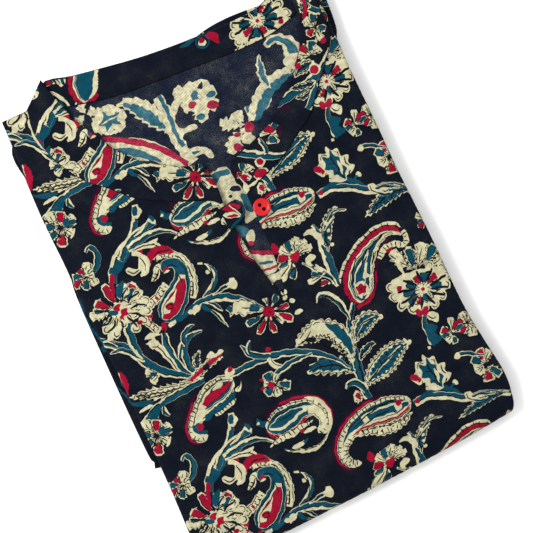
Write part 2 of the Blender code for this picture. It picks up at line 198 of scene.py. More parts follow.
# Half width along a form, from one end to the other.   share of the length, share of the width
PROFILES = {
    "drop": (
        (0, 0), (0.03, 0.42), (0.08, 0.7), (0.15, 0.92), (0.24, 1), (0.36, 0.92), (0.5, 0.7),
        (0.65, 0.48), (0.8, 0.32), (0.92, 0.2), (1, 0.04),
    ),
    "hook": (
        (0, 0), (0.03, 0.45), (0.08, 0.74), (0.15, 0.95), (0.24, 1), (0.36, 0.93), (0.5, 0.72),
        (0.65, 0.54), (0.8, 0.42), (0.93, 0.34), (0.98, 0.22), (1, 0.04),
    ),
    "leaf": (
        (0, 0.08), (0.08, 0.3), (0.2, 0.66), (0.35, 0.94), (0.5, 1), (0.65, 0.9), (0.8, 0.62),
        (0.92, 0.28), (1, 0),
    ),
    "petal": (
        (0, 0.12), (0.15, 0.3), (0.35, 0.62), (0.55, 0.92), (0.72, 1), (0.86, 0.78), (0.95, 0.42),
        (1, 0),
    ),
    "fan": (
        (0, 0.08), (0.15, 0.25), (0.35, 0.6), (0.55, 0.95), (0.72, 1.05), (0.87, 0.85), (0.96, 0.45),
        (1, 0),
    ),
    "stem": ((0, 0.7), (0.3, 1), (0.7, 0.8), (1, 0.25)),
    "even": ((0, 0.85), (0.5, 1), (1, 0.85)),
    "taper": ((0, 1), (0.5, 0.8), (1, 0.12)),
    "horn": ((0, 0.35), (0.3, 0.55), (0.7, 0.9), (0.93, 1), (1, 0.7)),
    "lens": ((0, 0), (0.12, 0.45), (0.3, 0.85), (0.5, 1), (0.7, 0.85), (0.88, 0.45), (1, 0)),
}
# The block cutter's uneven hand
HAND = np.random.default_rng(5)
# The print so far: (ink, outline) in the order of printing
DRAWN = []
# How much heavier the dark lines are than they're given
PEN = 1.7


def hand_cut(points):
    """Edges as a block cutter leaves them: pushed about a little, in two sizes of wave."""
    x, y = points[:, 0], points[:, 1]
    coarse = np.stack([np.sin(y / 1.45 + 1.8 * np.sin(x / 3.1)), np.sin(x / 1.6 + 1.8 * np.sin(y / 2.7))], 1)
    fine = np.stack([np.sin(y / 0.71 + 2.0 * np.sin(x / 1.3)), np.sin(x / 0.67 + 2.0 * np.sin(y / 1.2))], 1)
    return points + 0.30 * coarse + 0.17 * fine


def ink_area(ink, points):
    """Prints a closed outline."""
    points = np.asarray(points, float)
    if len(points) >= 3:
        DRAWN.append((ink, hand_cut(points)))


def half_width(profile, t):
    rows = np.array(PROFILES[profile])
    return np.interp(t, rows[:, 0], rows[:, 1])


def shares(s, t0=0.0, t1=1.0, step=1.4):
    return np.linspace(t0, t1, max(4, int((t1 - t0) * s.length / step)) + 1)


def ribbon_area(ink, s, t, low, high, shift=(0, 0)):
    """Prints what lies between two distances to the left of a spine."""
    high = np.broadcast_to(high, t.shape)[::-1]
    ink_area(ink, np.vstack([s.at(t, low), s.at(t[::-1], high)]) + np.array(shift))


def scallops(t, length, pitch, depth, kind):
    """What a bumpy (round) or saw-toothed (teeth) edge adds to a width."""
    if not depth:
        return 0 * t
    phase = t * length / pitch
    if kind == "teeth":
        return depth * ((phase % 1.0) ** 1.2 - 0.35)
    return depth * (np.abs(np.sin(np.pi * phase)) - 0.5)


def form(s, ink, width, profile, left=0.0, right=0.0, t0=0.0, t1=1.0, wave=(0, 0, "round"), shift=(0, 0)):
    """A closed form along a spine; left and right are insets from the full half width."""
    t = shares(s, t0, t1, 0.75 if wave[1] else 1.3)
    h = width * half_width(profile, t)
    w = scallops(t, s.length, wave[0] or 1, wave[1], wave[2]) * np.minimum(1, h / (0.3 * width))
    a = np.maximum(h - left, 0) + w
    b = np.maximum(h - right, 0) + w
    keep = np.flatnonzero(a + b > 0.12)
    if len(keep) < 3:
        return
    kept = slice(keep[0], keep[-1] + 1)
    t, a, b = t[kept], a[kept], b[kept]
    ink_area(ink, np.vstack([s.at(t, a), s.at(t[::-1], -b[::-1])]) + np.array(shift))
    if ink == CREAM and width > 2.6 and wave[1]:
        contour(s, t, a, 1, shift)
        contour(s, t, b, -1, shift)


def contour(s, t, reach, side, shift, inset=0.95, pieces=3):
    """A broken dark line just inside a form's edge, following its scallops."""
    cuts = np.linspace(0.06, 0.94, pieces + 1) + HAND.uniform(-0.02, 0.02, pieces + 1)
    for low, high in zip(cuts, cuts[1:]):
        part = slice(int(low * len(t)), max(int((high - 0.03) * len(t)), int(low * len(t)) + 3))
        h = np.maximum(reach[part] - inset, 0)
        ribbon_area(LINE, s, t[part], side * np.maximum(h - 0.27, 0), side * (h + 0.27), shift)


def rim(s, ink, width, profile, side, a, b, t0=0.0, t1=1.0, shift=(0, 0), wave=(0, 0, "round")):
    """A band on one side (1 left, -1 right) of a form, between insets a and b; below zero is outside."""
    t = shares(s, t0, t1, 0.9 if wave[1] else 1.4)
    h = width * half_width(profile, t)
    fade = np.minimum(1, np.minimum(t - t0, t1 - t) / (0.08 * (t1 - t0)) + 0.1)
    mid, half = (a + b) / 2, (b - a) / 2 * fade
    bumps = scallops(t, s.length, wave[0] or 1, wave[1], wave[2])
    low = np.maximum(h - mid - half, -0.3)
    high = np.maximum(h - mid + half, 0) + bumps
    ribbon_area(ink, s, t, side * low, side * high, shift)


def line(points, width=0.55, ink=LINE, step=1.6):
    """A stroke that thins at both ends."""
    s = points if isinstance(points, Spine) else Spine(points, step)
    t = np.linspace(0, 1, max(3, int(s.length / 1.8) + 1))
    h = PEN * width / 2 * (1 - 0.45 * np.abs(2 * t - 1) ** 3)
    ribbon_area(ink, s, t, h, -h)


def edge_line(s, width, profile, side, inset, t0=0.0, t1=1.0, w=0.5, dash=None):
    """A dark line along one side of a form; dash breaks it up."""
    cuts = np.linspace(t0, t1, (max(1, int((t1 - t0) * s.length / dash)) if dash else 1) + 1)
    for low, high in zip(cuts, cuts[1:]):
        if dash:
            high = low + (high - low) * HAND.uniform(0.72, 0.95)
        t = np.linspace(low, high, max(3, int((high - low) * s.length / 1.6) + 1))
        h = np.maximum(width * half_width(profile, t) - inset, 0)
        ribbon_area(LINE, s, t, side * (h - PEN * w / 2), side * (h + PEN * w / 2))


def ticks(s, width, profile, side, a, b, t0, t1, pitch, w=0.5):
    """Short dark lines across a border, from inset a to inset b: they part it into beads."""
    count = max(1, int((t1 - t0) * s.length / pitch))
    for k in range(count + 1):
        t = float(np.clip(t0 + (t1 - t0) * (k + HAND.uniform(-0.18, 0.18)) / count, t0, t1))
        h = width * float(half_width(profile, t))
        low, high = h - b * HAND.uniform(0.86, 1.0), h - a - HAND.uniform(0, 0.25) * (b - a)
        line([s.at(t, side * reach)[0] for reach in (low, (low + high) / 2, high)], w, step=2.5)


def disc(ink, x, y, r, stretch=1.0, turn=0.0, bumps=0, depth=0.0):
    """A dot, drawn out and turned, and lobed where it has bumps."""
    a = np.linspace(0, 2 * np.pi, 24 if bumps else 12, endpoint=False)
    reach = r * (1 + depth * np.cos(bumps * a)) if bumps else r * (1 + HAND.uniform(-0.06, 0.06, len(a)))
    p = np.stack([reach * np.cos(a) * stretch, reach * np.sin(a)], 1)
    c, q = math.cos(math.radians(turn)), math.sin(math.radians(turn))
    ink_area(ink, p @ np.array([[c, q], [-q, c]]) + (x, y))


def patch(ink, points):
    """A shape with a smooth edge through its corners."""
    ink_area(ink, through(points, 1.5, True))


# ------------------------------------------------------------------ motifs


def stem(points, width=1.8, light=1, end="stem", cream_w=1.5):
    """A teal stroke with a cream side and a dark line between."""
    s = Spine(points)
    t = shares(s)
    h = width * half_width(end, t)
    c = cream_w * np.minimum(1, half_width(end, t) + 0.2)
    ribbon_area(CREAM, s, t, -h - (0.3 if light > 0 else c), h + (c if light > 0 else 0.3))
    ribbon_area(TEAL, s, t, -h, h, (0.2, -0.15))
    edge_line(s, width, end, light, 0.0, 0.05, 0.9, dash=16)


def leaf(
    points, width, profile="leaf", teeth=(4.2, 2.0, "round"), inner=2.3, ink=TEAL, veins=5, mid=True,
    sides=(1, 1), light_mid=False,
):
    """A leaf: cream toothed edge, inked middle, dark midrib and veins."""
    s = Spine(points)
    form(s, CREAM, width, profile, wave=teeth)
    if ink:
        form(
            s, ink, width, profile, left=inner * sides[0], right=inner * sides[1], t1=0.93,
            wave=(teeth[0], teeth[1] * 0.7, teeth[2]), shift=(0.25, -0.2),
        )
    if light_mid:
        form(s, CREAM, 0.9, "lens", t0=0.12, t1=0.8)
    if mid:
        line([s.at(0.05)[0], s.at(0.35, 0.2)[0], s.at(0.6)[0], s.at(0.85)[0]], 0.6)
    for side in (1, -1):
        if teeth[1]:
            edge_line(s, width, profile, side, inner * 0.55, 0.12, 0.9, 0.42, dash=5.0)
        for k in range(veins):
            t = 0.16 + 0.62 * (k + 0.5) / veins
            h = width * float(half_width(profile, t))
            line([s.at(t, side * 0.3)[0], s.at(t + 0.07, side * h * 0.62)[0]], 0.42, step=3)


def hook_leaf(points, width, light=1, ink=TEAL):
    """A plain curved leaf, one side inked and one side cream, split by a dark line."""
    s = Spine(points)
    form(s, CREAM, width, "lens")
    insets = (width * 0.95, 0.2) if light > 0 else (0.2, width * 0.95)
    form(s, ink, width, "lens", left=insets[0], right=insets[1], t1=0.9, shift=(0.15, -0.15))
    line([s.at(0.08)[0], s.at(0.4)[0], s.at(0.8)[0]], 0.5)


def trumpet(points, width, ink=None, horns=True):
    """A cream bud on a stalk that opens into two horns."""
    s = Spine(points)
    form(s, CREAM, width, "horn")
    end = s.at(1.0)[0]
    ahead = end - s.at(0.9)[0]
    ahead /= np.linalg.norm(ahead)
    left = np.array([-ahead[1], ahead[0]])
    for side in (1, -1) if horns else ():
        rows = ((0.2, -1.0), (0.9, -0.4), (1.35, 0.7), (0.35, 0.3))
        patch(CREAM, [end + left * side * width * across + ahead * width * along for across, along in rows])
    if ink:
        form(s, ink, width * 0.62, "horn", t0=0.3, t1=0.78)
    line([s.at(0.1)[0], s.at(0.5, 0.15)[0], s.at(0.9)[0]], 0.5)


def petals(x, y, rows):
    """Petals round a centre.   angle, from, to, half width, ink of the middle, kind of edge"""
    for angle, r0, r1, w, ink, kind in rows:
        a = math.radians(angle)
        d, n = np.array([math.cos(a), math.sin(a)]), np.array([-math.sin(a), math.cos(a)])
        bend = HAND.uniform(-0.08, 0.08) * (r1 - r0)
        s = Spine([(x, y) + d * r0, (x, y) + d * (r0 + r1) / 2 + n * bend, (x, y) + d * r1])
        if kind == "spiky":
            form(s, CREAM, w, "petal", wave=(max(2.6, w * 0.9), w * 0.6, "teeth"))
        elif kind == "lobed":
            form(s, CREAM, w, "fan", wave=(w * 1.1, w * 0.3, "round"))
        else:
            form(s, CREAM, w, "petal")
        if ink:
            form(s, ink, w * 0.66, "petal", t0=0.22, t1=0.86, shift=(0.15, 0.15))
            edge_line(s, w * 0.66, "petal", 1, 0, 0.2, 0.85, 0.42)
        else:
            line([s.at(0.15)[0], s.at(0.45, w * 0.12)[0], s.at(0.72)[0]], 0.45)
        edge_line(s, w, "petal", -1, 0.45, 0.15, 0.8, 0.4, dash=5)


def lobe(x, y, r, turn, ink=CREAM):
    """A rounded lobe with a dark arc inside its outer edge."""
    disc(ink, x, y, r, 1.1, turn)
    arc = np.radians(turn + np.linspace(-105, 105, 9))
    line([(x + 0.68 * r * math.cos(a), y + 0.68 * r * math.sin(a)) for a in arc], 0.5)


def zigzag(points, height, pitch, width=0.5):
    """A dark saw-tooth line beside a path."""
    s = Spine(points)
    count = max(int(s.length / pitch), 2)
    t = np.arange(2 * count + 1) / (2 * count)
    off = np.where(np.arange(2 * count + 1) % 2, height, 0.0)
    corners = s.at(t, off)
    for a, b in zip(corners, corners[1:]):
        line([a, b], width)


def paisley(points, width, profile="drop"):
    """The cream body of a paisley, with a lightly beaded edge."""
    s = Spine(points, 1.3)
    form(s, CREAM, width, profile, wave=(3.0, 0.5, "round"))
    return s


# ------------------------------------------------------------------ the design


def draw_main_stem():
    """Main stem and what grows on it."""
    stem(
        [(33, -114), (33, -104), (35, -92), (37, -80), (40, -68), (45, -57), (52, -47)], 2.6, light=1,
        cream_w=1.4,
    )
    line([(34, -110), (35, -98), (37, -86), (38, -76)], 0.7)
    line([(40, -70), (44, -60), (50, -50)], 0.7)
    # long leaf to the right
    leaf(
        [(34, -105), (42, -100), (54, -95), (66, -90), (77, -90)], 8.2, teeth=(3.6, 2.2, "round"),
        inner=3.0, light_mid=True, veins=4,
    )
    # leaf to the left
    leaf(
        [(32, -93), (26, -86), (18, -81), (9, -79), (0, -80)], 6.4, teeth=(6.5, 2.6, "teeth"), inner=1.4,
        sides=(1.9, 0.1), veins=3,
    )
    # fan leaf to the left
    leaf(
        [(33, -86), (34, -74), (30, -63), (21, -56), (9, -56), (1, -60)], 8.4, teeth=(3.6, 2.0, "round"),
        inner=3.6, sides=(1.0, 1.0), ink=None, veins=0, mid=False,
    )
    form(Spine([(33, -84), (34, -74), (30, -62), (24, -55)]), TEAL, 3.4, "lens", shift=(1.5, 2.5))
    disc(NAVY, 20.5, -65.5, 3.6)
    disc(NAVY, 13, -59.5, 1.9, 1.8, -25)
    for x, y in ((31, -80), (31.5, -75.5), (30.5, -71), (28.5, -66.5), (25.5, -62)):
        line([(x - 3.2, y + 0.5), (x, y - 1.4), (x - 1, y + 1.6), (x + 1.6, y + 0.8)], 0.55, step=2)
    zigzag([(30, -85), (31, -74), (27, -64), (20, -58), (9, -57)], 2.6, 3.0)
    zigzag([(26, -80), (25, -72), (20, -65)], 1.8, 2.6)
    disc(NAVY, 15.5, -67.5, 1.6, 1.4, 20)
    disc(NAVY, 8, -62.5, 1.2, 1.3)
    patch(NAVY, [(24, -70), (26, -66), (23, -64.5), (21.5, -67.5)])
    line([(24, -82), (19, -73), (12, -68), (5, -64)], 0.5)
    line([(4, -59), (9, -58), (16, -54)], 0.5)
    # fan leaf to the right
    leaf(
        [(40, -74), (48, -66), (57, -63), (66, -66)], 6.6, teeth=(3.4, 1.8, "round"), inner=2.6, veins=3,
        light_mid=True,
    )
    leaf(
        [(38, -87), (44, -82), (50, -80), (54, -81)], 2.8, teeth=(2.8, 1.0, "round"), inner=1.3,
        sides=(0.4, 1.6), veins=0,
    )
    # small hook left of the stem's foot
    stem([(33, -108), (30, -101), (25, -98.5), (21, -101)], 1.6, light=-1, cream_w=1.6)
    petals(31, -112, ((160, 1, 9, 3.0, None, "spiky"), (132, 1, 10, 2.6, None, "plain")))
    disc(RED, 26.5, -108.5, 1.9)
    # branch from the hooked paisley to the main stem
    stem(
        [(-51, -58), (-38, -57), (-24, -57), (-10, -59), (2, -63), (14, -70), (24, -79), (30, -89)], 1.9,
        light=-1, cream_w=1.3,
    )
    stem([(-17, -58), (-26, -54), (-31, -49), (-33, -42)], 1.7, light=-1, cream_w=1.2)
    hook_leaf([(-30, -52), (-29, -46), (-25, -41)], 1.7, light=1)
    patch(CREAM, [(-18, -58.5), (-16, -63), (-11, -68), (-16, -68.5), (-20, -64), (-20.5, -59)])
    line([(-18, -60), (-17, -64), (-13, -67)], 0.45)
    stem([(-22, -71), (-14, -69), (-4, -67), (10, -68)], 1.3, light=-1, cream_w=1.5)
    # hook leaf at the stem's end
    hook_leaf([(44, -60), (43, -50), (41, -42), (36, -35), (30, -34), (27, -39)], 2.7, light=-1)
    line([(43.5, -56), (42, -46), (38.5, -38), (33, -35.5)], 0.5)
    # tall stem with leaves
    stem([(47, -31), (48, -20), (49, -8), (50, 4), (48, 13)], 2.0, light=1, cream_w=2.6)
    leaf(
        [(50, -9), (53, 2), (59, 11), (66, 17), (70, 17)], 3.8, teeth=(3.4, 1.3, "round"), inner=1.2,
        veins=2,
    )
    hook_leaf([(52, 5), (59, 11), (67, 15), (75, 12)], 1.7, light=-1)
    patch(CREAM, [(47, -2), (45, 6), (39, 9), (41, 11), (47, 10), (50, 4), (50, -2)])
    trumpet([(46, -33), (43, -24), (37, -17)], 2.9, TEAL)
    petals(44, -22, ((158, 2, 13, 2.6, TEAL, "plain"), (180, 4, 17, 2.3, None, "plain")))
    petals(43, -30, ((152, 1, 9, 2.4, RED, "plain"),))
    for k in range(4):
        disc(CREAM, 54.5 + 0.8 * k, -5.5 + 5.2 * k, 1.3)


def draw_oblique_paisley():
    """Oblique paisley."""
    s = paisley(
        [
            (59, -127), (50, -127), (38, -125.5), (26, -125), (14, -127.5), (5, -133), (0, -141), (2, -149),
            (9, -152),
        ],
        9.2, "hook",
    )
    form(s, TEAL, 9.2, "hook", left=4.6, right=2.9, t1=0.6)
    rim(s, MAROON, 9.2, "hook", -1, -3.0, 0.2, 0.2, 0.95)
    rim(s, RED, 9.2, "hook", -1, -1.7, -0.4, 0.3, 0.92)
    form(s, TEAL, 9.2, "hook", left=4.4, right=4.3, t0=0.04, t1=0.86)
    rim(s, LINE, 9.2, "hook", -1, 4.0, 4.7, 0.05, 0.75)
    rim(s, RED, 9.2, "hook", 1, 1.5, 2.9, 0.0, 0.62)
    rim(s, LINE, 9.2, "hook", 1, 0.7, 1.35, 0.0, 0.66)
    ticks(s, 9.2, "hook", -1, 0, 3.6, 0.05, 0.95, 3.2, 0.5)
    form(s, CREAM, 3.8, "drop", t0=0.02, t1=0.45, shift=(0, -0.4))
    form(s, TEAL, 2.4, "drop", t0=0.03, t1=0.4, shift=(0, -0.6))
    disc(CREAM, 49, -127, 3.0)
    disc(RED, 50, -124.4, 2.3)
    line([(44, -129), (48, -130.5), (53, -129)], 0.5)
    line([(16, -127), (28, -123), (40, -121.5), (50, -121.5)], 0.55)
    line([(20, -129.5), (30, -127), (42, -126.5)], 0.5)
    # fringe
    f = Spine([(57, -134), (46, -138.5), (34, -138), (22, -134), (12, -133)])
    form(f, CREAM, 3.4, "lens", wave=(4.0, 1.2, "round"))
    ticks(f, 3.4, "lens", 1, 0.2, 4.2, 0.12, 0.85, 3.2, 0.5)
    edge_line(f, 3.4, "lens", -1, 0.5, 0.1, 0.9, 0.45, dash=6)
    for k in range(6):
        disc(LINE, 27 + 4.3 * k, -137.3 - 0.25 * k * (5 - k) * 0.3, 0.55)
    ticks(s, 9.2, "hook", 1, -1, 3.8, 0.66, 0.97, 3.0, 0.5)


def draw_long_paisley():
    """Long crimson paisley."""
    pts = [(57, -52), (58.5, -44), (62, -35), (69, -26), (78, -18.5), (88, -14), (96, -14.5), (101, -19)]
    s = paisley(pts, 9.6, "drop")
    rim(s, MAROON, 9.6, "drop", 1, -3.1, 1.2, 0.0, 1)
    rim(s, RED, 9.6, "drop", 1, -2.2, 0.9, 0.0, 1)
    rim(s, LINE, 9.6, "drop", 1, 0.9, 1.4, 0.02, 0.98)
    rim(s, MAROON, 9.6, "drop", -1, -3.4, -0.4, 0.03, 0.9)
    rim(s, RED, 9.6, "drop", -1, -2.6, -1.2, 0.03, 0.4)
    rim(s, CREAM, 9.6, "drop", 1, -4.9, -2.9, 0.22, 0.98)
    for q in (1,):
        ticks(s, 9.6, "drop", q, -4.9, -1.0, 0.05, 0.98, 3.3, 0.5)
    form(s, TEAL, 9.6, "drop", left=3.2, right=3.4, t1=0.97, shift=(0.2, -0.2))
    rim(s, LINE, 9.6, "drop", 1, 2.5, 3.1, 0.02, 0.9)
    rim(s, LINE, 9.6, "drop", -1, 2.6, 3.2, 0.02, 0.9)
    form(s, CREAM, 9.6, "drop", left=5.2, right=5.4, t1=0.8)
    form(s, TEAL, 9.6, "drop", left=6.4, right=6.2, t0=0.2, t1=0.75)
    disc(CREAM, 60, -42, 5.4)
    disc(RED, 60, -42, 3.7, bumps=5, depth=0.12)
    for k in range(5):
        disc(LINE, 60 + 2.1 * math.cos(1.26 * k + 0.5), -42 + 2.1 * math.sin(1.26 * k + 0.5), 0.45)
    rim(s, LINE, 9.6, "drop", 1, 4.9, 5.4, 0.04, 0.85)
    rim(s, LINE, 9.6, "drop", -1, 4.9, 5.4, 0.04, 0.85)
    disc(LINE, 60, -42, 0.8)
    patch(CREAM, [(64, -36), (69, -29), (72, -27), (68, -33), (70, -36)])
    line([(63, -33), (69, -24), (76, -18)], 0.5)
    line([(74, -29), (79, -22)], 0.5)
    line([(56, -36), (60, -28), (66, -21)], 0.55)
    # curled head end and beads on the right side
    b = Spine([(103, -17), (103.5, -23), (100, -26), (94, -23), (87, -23), (80, -28)])
    form(b, CREAM, 2.0, "even", wave=(3.2, 0.5, "round"))
    ticks(b, 2.0, "even", 1, 0, 3.8, 0.05, 0.95, 3.0, 0.5)
    form(Spine([(93, -24.5), (88, -25.5), (85, -25)]), RED, 1.4, "lens")
    c = Spine([(52, -53), (57, -51.5), (62, -51), (66, -48)])
    form(c, RED, 1.7, "even")
    line([(55, -51.8), (60, -50.5), (64, -49.5)], 0.4)


def draw_oval_paisley():
    """Oval paisley."""
    pts = [
        (-42, -103), (-34, -103.5), (-25, -102), (-14, -100.5), (-5, -103), (-1.5, -110), (-3.5, -117),
        (-9, -120),
    ]
    s = paisley(pts, 9.4, "hook")
    rim(s, MAROON, 9.4, "hook", 1, -3.8, -0.4, 0.04, 0.86)
    rim(s, RED, 9.4, "hook", 1, -2.9, -1.0, 0.3, 0.84)
    rim(s, TEAL, 9.4, "hook", 1, 2.6, 4.4, 0.02, 0.62)
    form(s, TEAL, 9.4, "hook", left=2.6, right=2.4, t1=0.55, shift=(0.2, -0.2))
    ticks(s, 9.4, "hook", 1, -0.6, 2.2, 0.06, 0.98, 3.0, 0.5)
    rim(s, LINE, 9.4, "hook", 1, 2.2, 2.7, 0.04, 0.8)
    form(s, CREAM, 9.4, "hook", left=4.8, right=4.6, t0=0.02, t1=0.56)
    form(s, TEAL, 9.4, "hook", left=5.4, right=6.6, t0=0.06, t1=0.5)
    rim(s, RED, 9.4, "hook", -1, -1.4, 0.9, 0.0, 0.52)
    rim(s, LINE, 9.4, "hook", -1, 1.6, 2.2, 0.0, 0.6)
    line([(-38, -99), (-28, -97.2), (-16, -97), (-8, -98)], 0.5)
    line([(-30, -101.5), (-21, -100.4)], 0.5)
    f = Spine([(-45, -115.5), (-36, -113), (-26, -113), (-16, -111), (-8, -111)])
    form(f, CREAM, 2.3, "lens", wave=(3.4, 0.7, "round"))
    ticks(f, 2.3, "lens", 1, 0.2, 3.6, 0.1, 0.92, 3.2, 0.5)
    edge_line(f, 2.3, "lens", 1, 0.3, 0.1, 0.95, 0.45, dash=7)
    rim(s, CREAM, 9.4, "hook", 1, -2.0, 0.2, 0.55, 0.98)
    g = Spine([(-20, -116.5), (-14, -115.5), (-8, -116.5)])
    form(g, CREAM, 1.5, "lens")
    disc(RED, -19, -114.5, 1.4, 1.4)
    patch(TEAL, [(-46, -97), (-44, -93), (-42, -97), (-39, -98), (-42, -101)])
    patch(CREAM, [(-46.5, -97.3), (-44.5, -95.2), (-44, -97.5)])
    # leaf under the oval paisley
    q = Spine([(-36, -121.5), (-28, -125.5), (-18, -129), (-8, -127), (-1, -121)])
    form(q, CREAM, 1.5, "lens", wave=(5, 0.3, "round"))
    edge_line(q, 1.5, "lens", 1, 0.5, 0.1, 0.9, 0.42, dash=9)
    patch(CREAM, [(-30, -121.5), (-24, -121), (-20, -120.5), (-23, -124), (-28, -124)])
    patch(TEAL, [(-22, -121), (-17, -120.5), (-20, -122.8)])
    patch(TEAL, [(-36, -120), (-33, -121.5), (-35, -122)])


def draw_hooked_paisley():
    """Hooked crimson paisley."""
    pts = [
        (-47, -62.5), (-54, -63), (-63, -65), (-73, -69), (-82, -75.5), (-88, -83), (-86, -89),
        (-80, -89.5),
    ]
    s = paisley(pts, 9.0, "hook")
    rim(s, MAROON, 9.0, "hook", -1, -2.8, 0.4, 0.4, 0.92)
    rim(s, RED, 9.0, "hook", -1, -1.6, -0.1, 0.5, 0.9)
    ticks(s, 9.0, "hook", -1, 0.2, 3.4, 0.12, 0.95, 3.1, 0.5)
    rim(s, LINE, 9.0, "hook", -1, 3.3, 3.9, 0.08, 0.74)
    rim(s, TEAL, 9.0, "hook", -1, 4.6, 5.9, 0.04, 0.3)
    form(s, RED, 9.0, "hook", left=3.2, right=5.6, t0=0.03, t1=0.46)
    line([(-50, -61), (-58, -62.5), (-66, -63)], 0.45)
    patch(CREAM, [(-64, -62.5), (-60, -60), (-55, -60), (-58, -63)])
    rim(s, TEAL, 9.0, "hook", 1, 3.3, 4.9, 0.0, 0.5)
    rim(s, LINE, 9.0, "hook", 1, 4.9, 5.4, 0.02, 0.46)
    rim(s, LINE, 9.0, "hook", -1, 2.7, 3.2, 0.02, 0.5)
    rim(s, LINE, 9.0, "hook", 1, 2.3, 2.9, 0.02, 0.5)
    rim(s, TEAL, 9.0, "hook", 1, -3.2, 0.9, 0.06, 0.62)
    rim(s, CREAM, 9.0, "hook", 1, -5.4, -3.2, 0.1, 0.5)
    ticks(s, 9.0, "hook", 1, -5.4, -2.2, 0.08, 0.5, 3.0, 0.5)
    disc(TEAL, -84, -82, 3.4)
    disc(RED, -82, -82.3, 2.1, 1.3)
    patch(TEAL, [(-88, -80), (-86, -86), (-80, -88), (-79, -86), (-84, -84), (-86, -79)])
    disc(CREAM, -48, -56, 3.2, 1.2)
    disc(RED, -46.5, -54.5, 1.8, 1.2)
    patch(CREAM, [(-50, -69), (-45, -67), (-43, -64.5), (-45.5, -70), (-48, -71)])
    line([(-48, -69.5), (-45, -67)], 0.45)


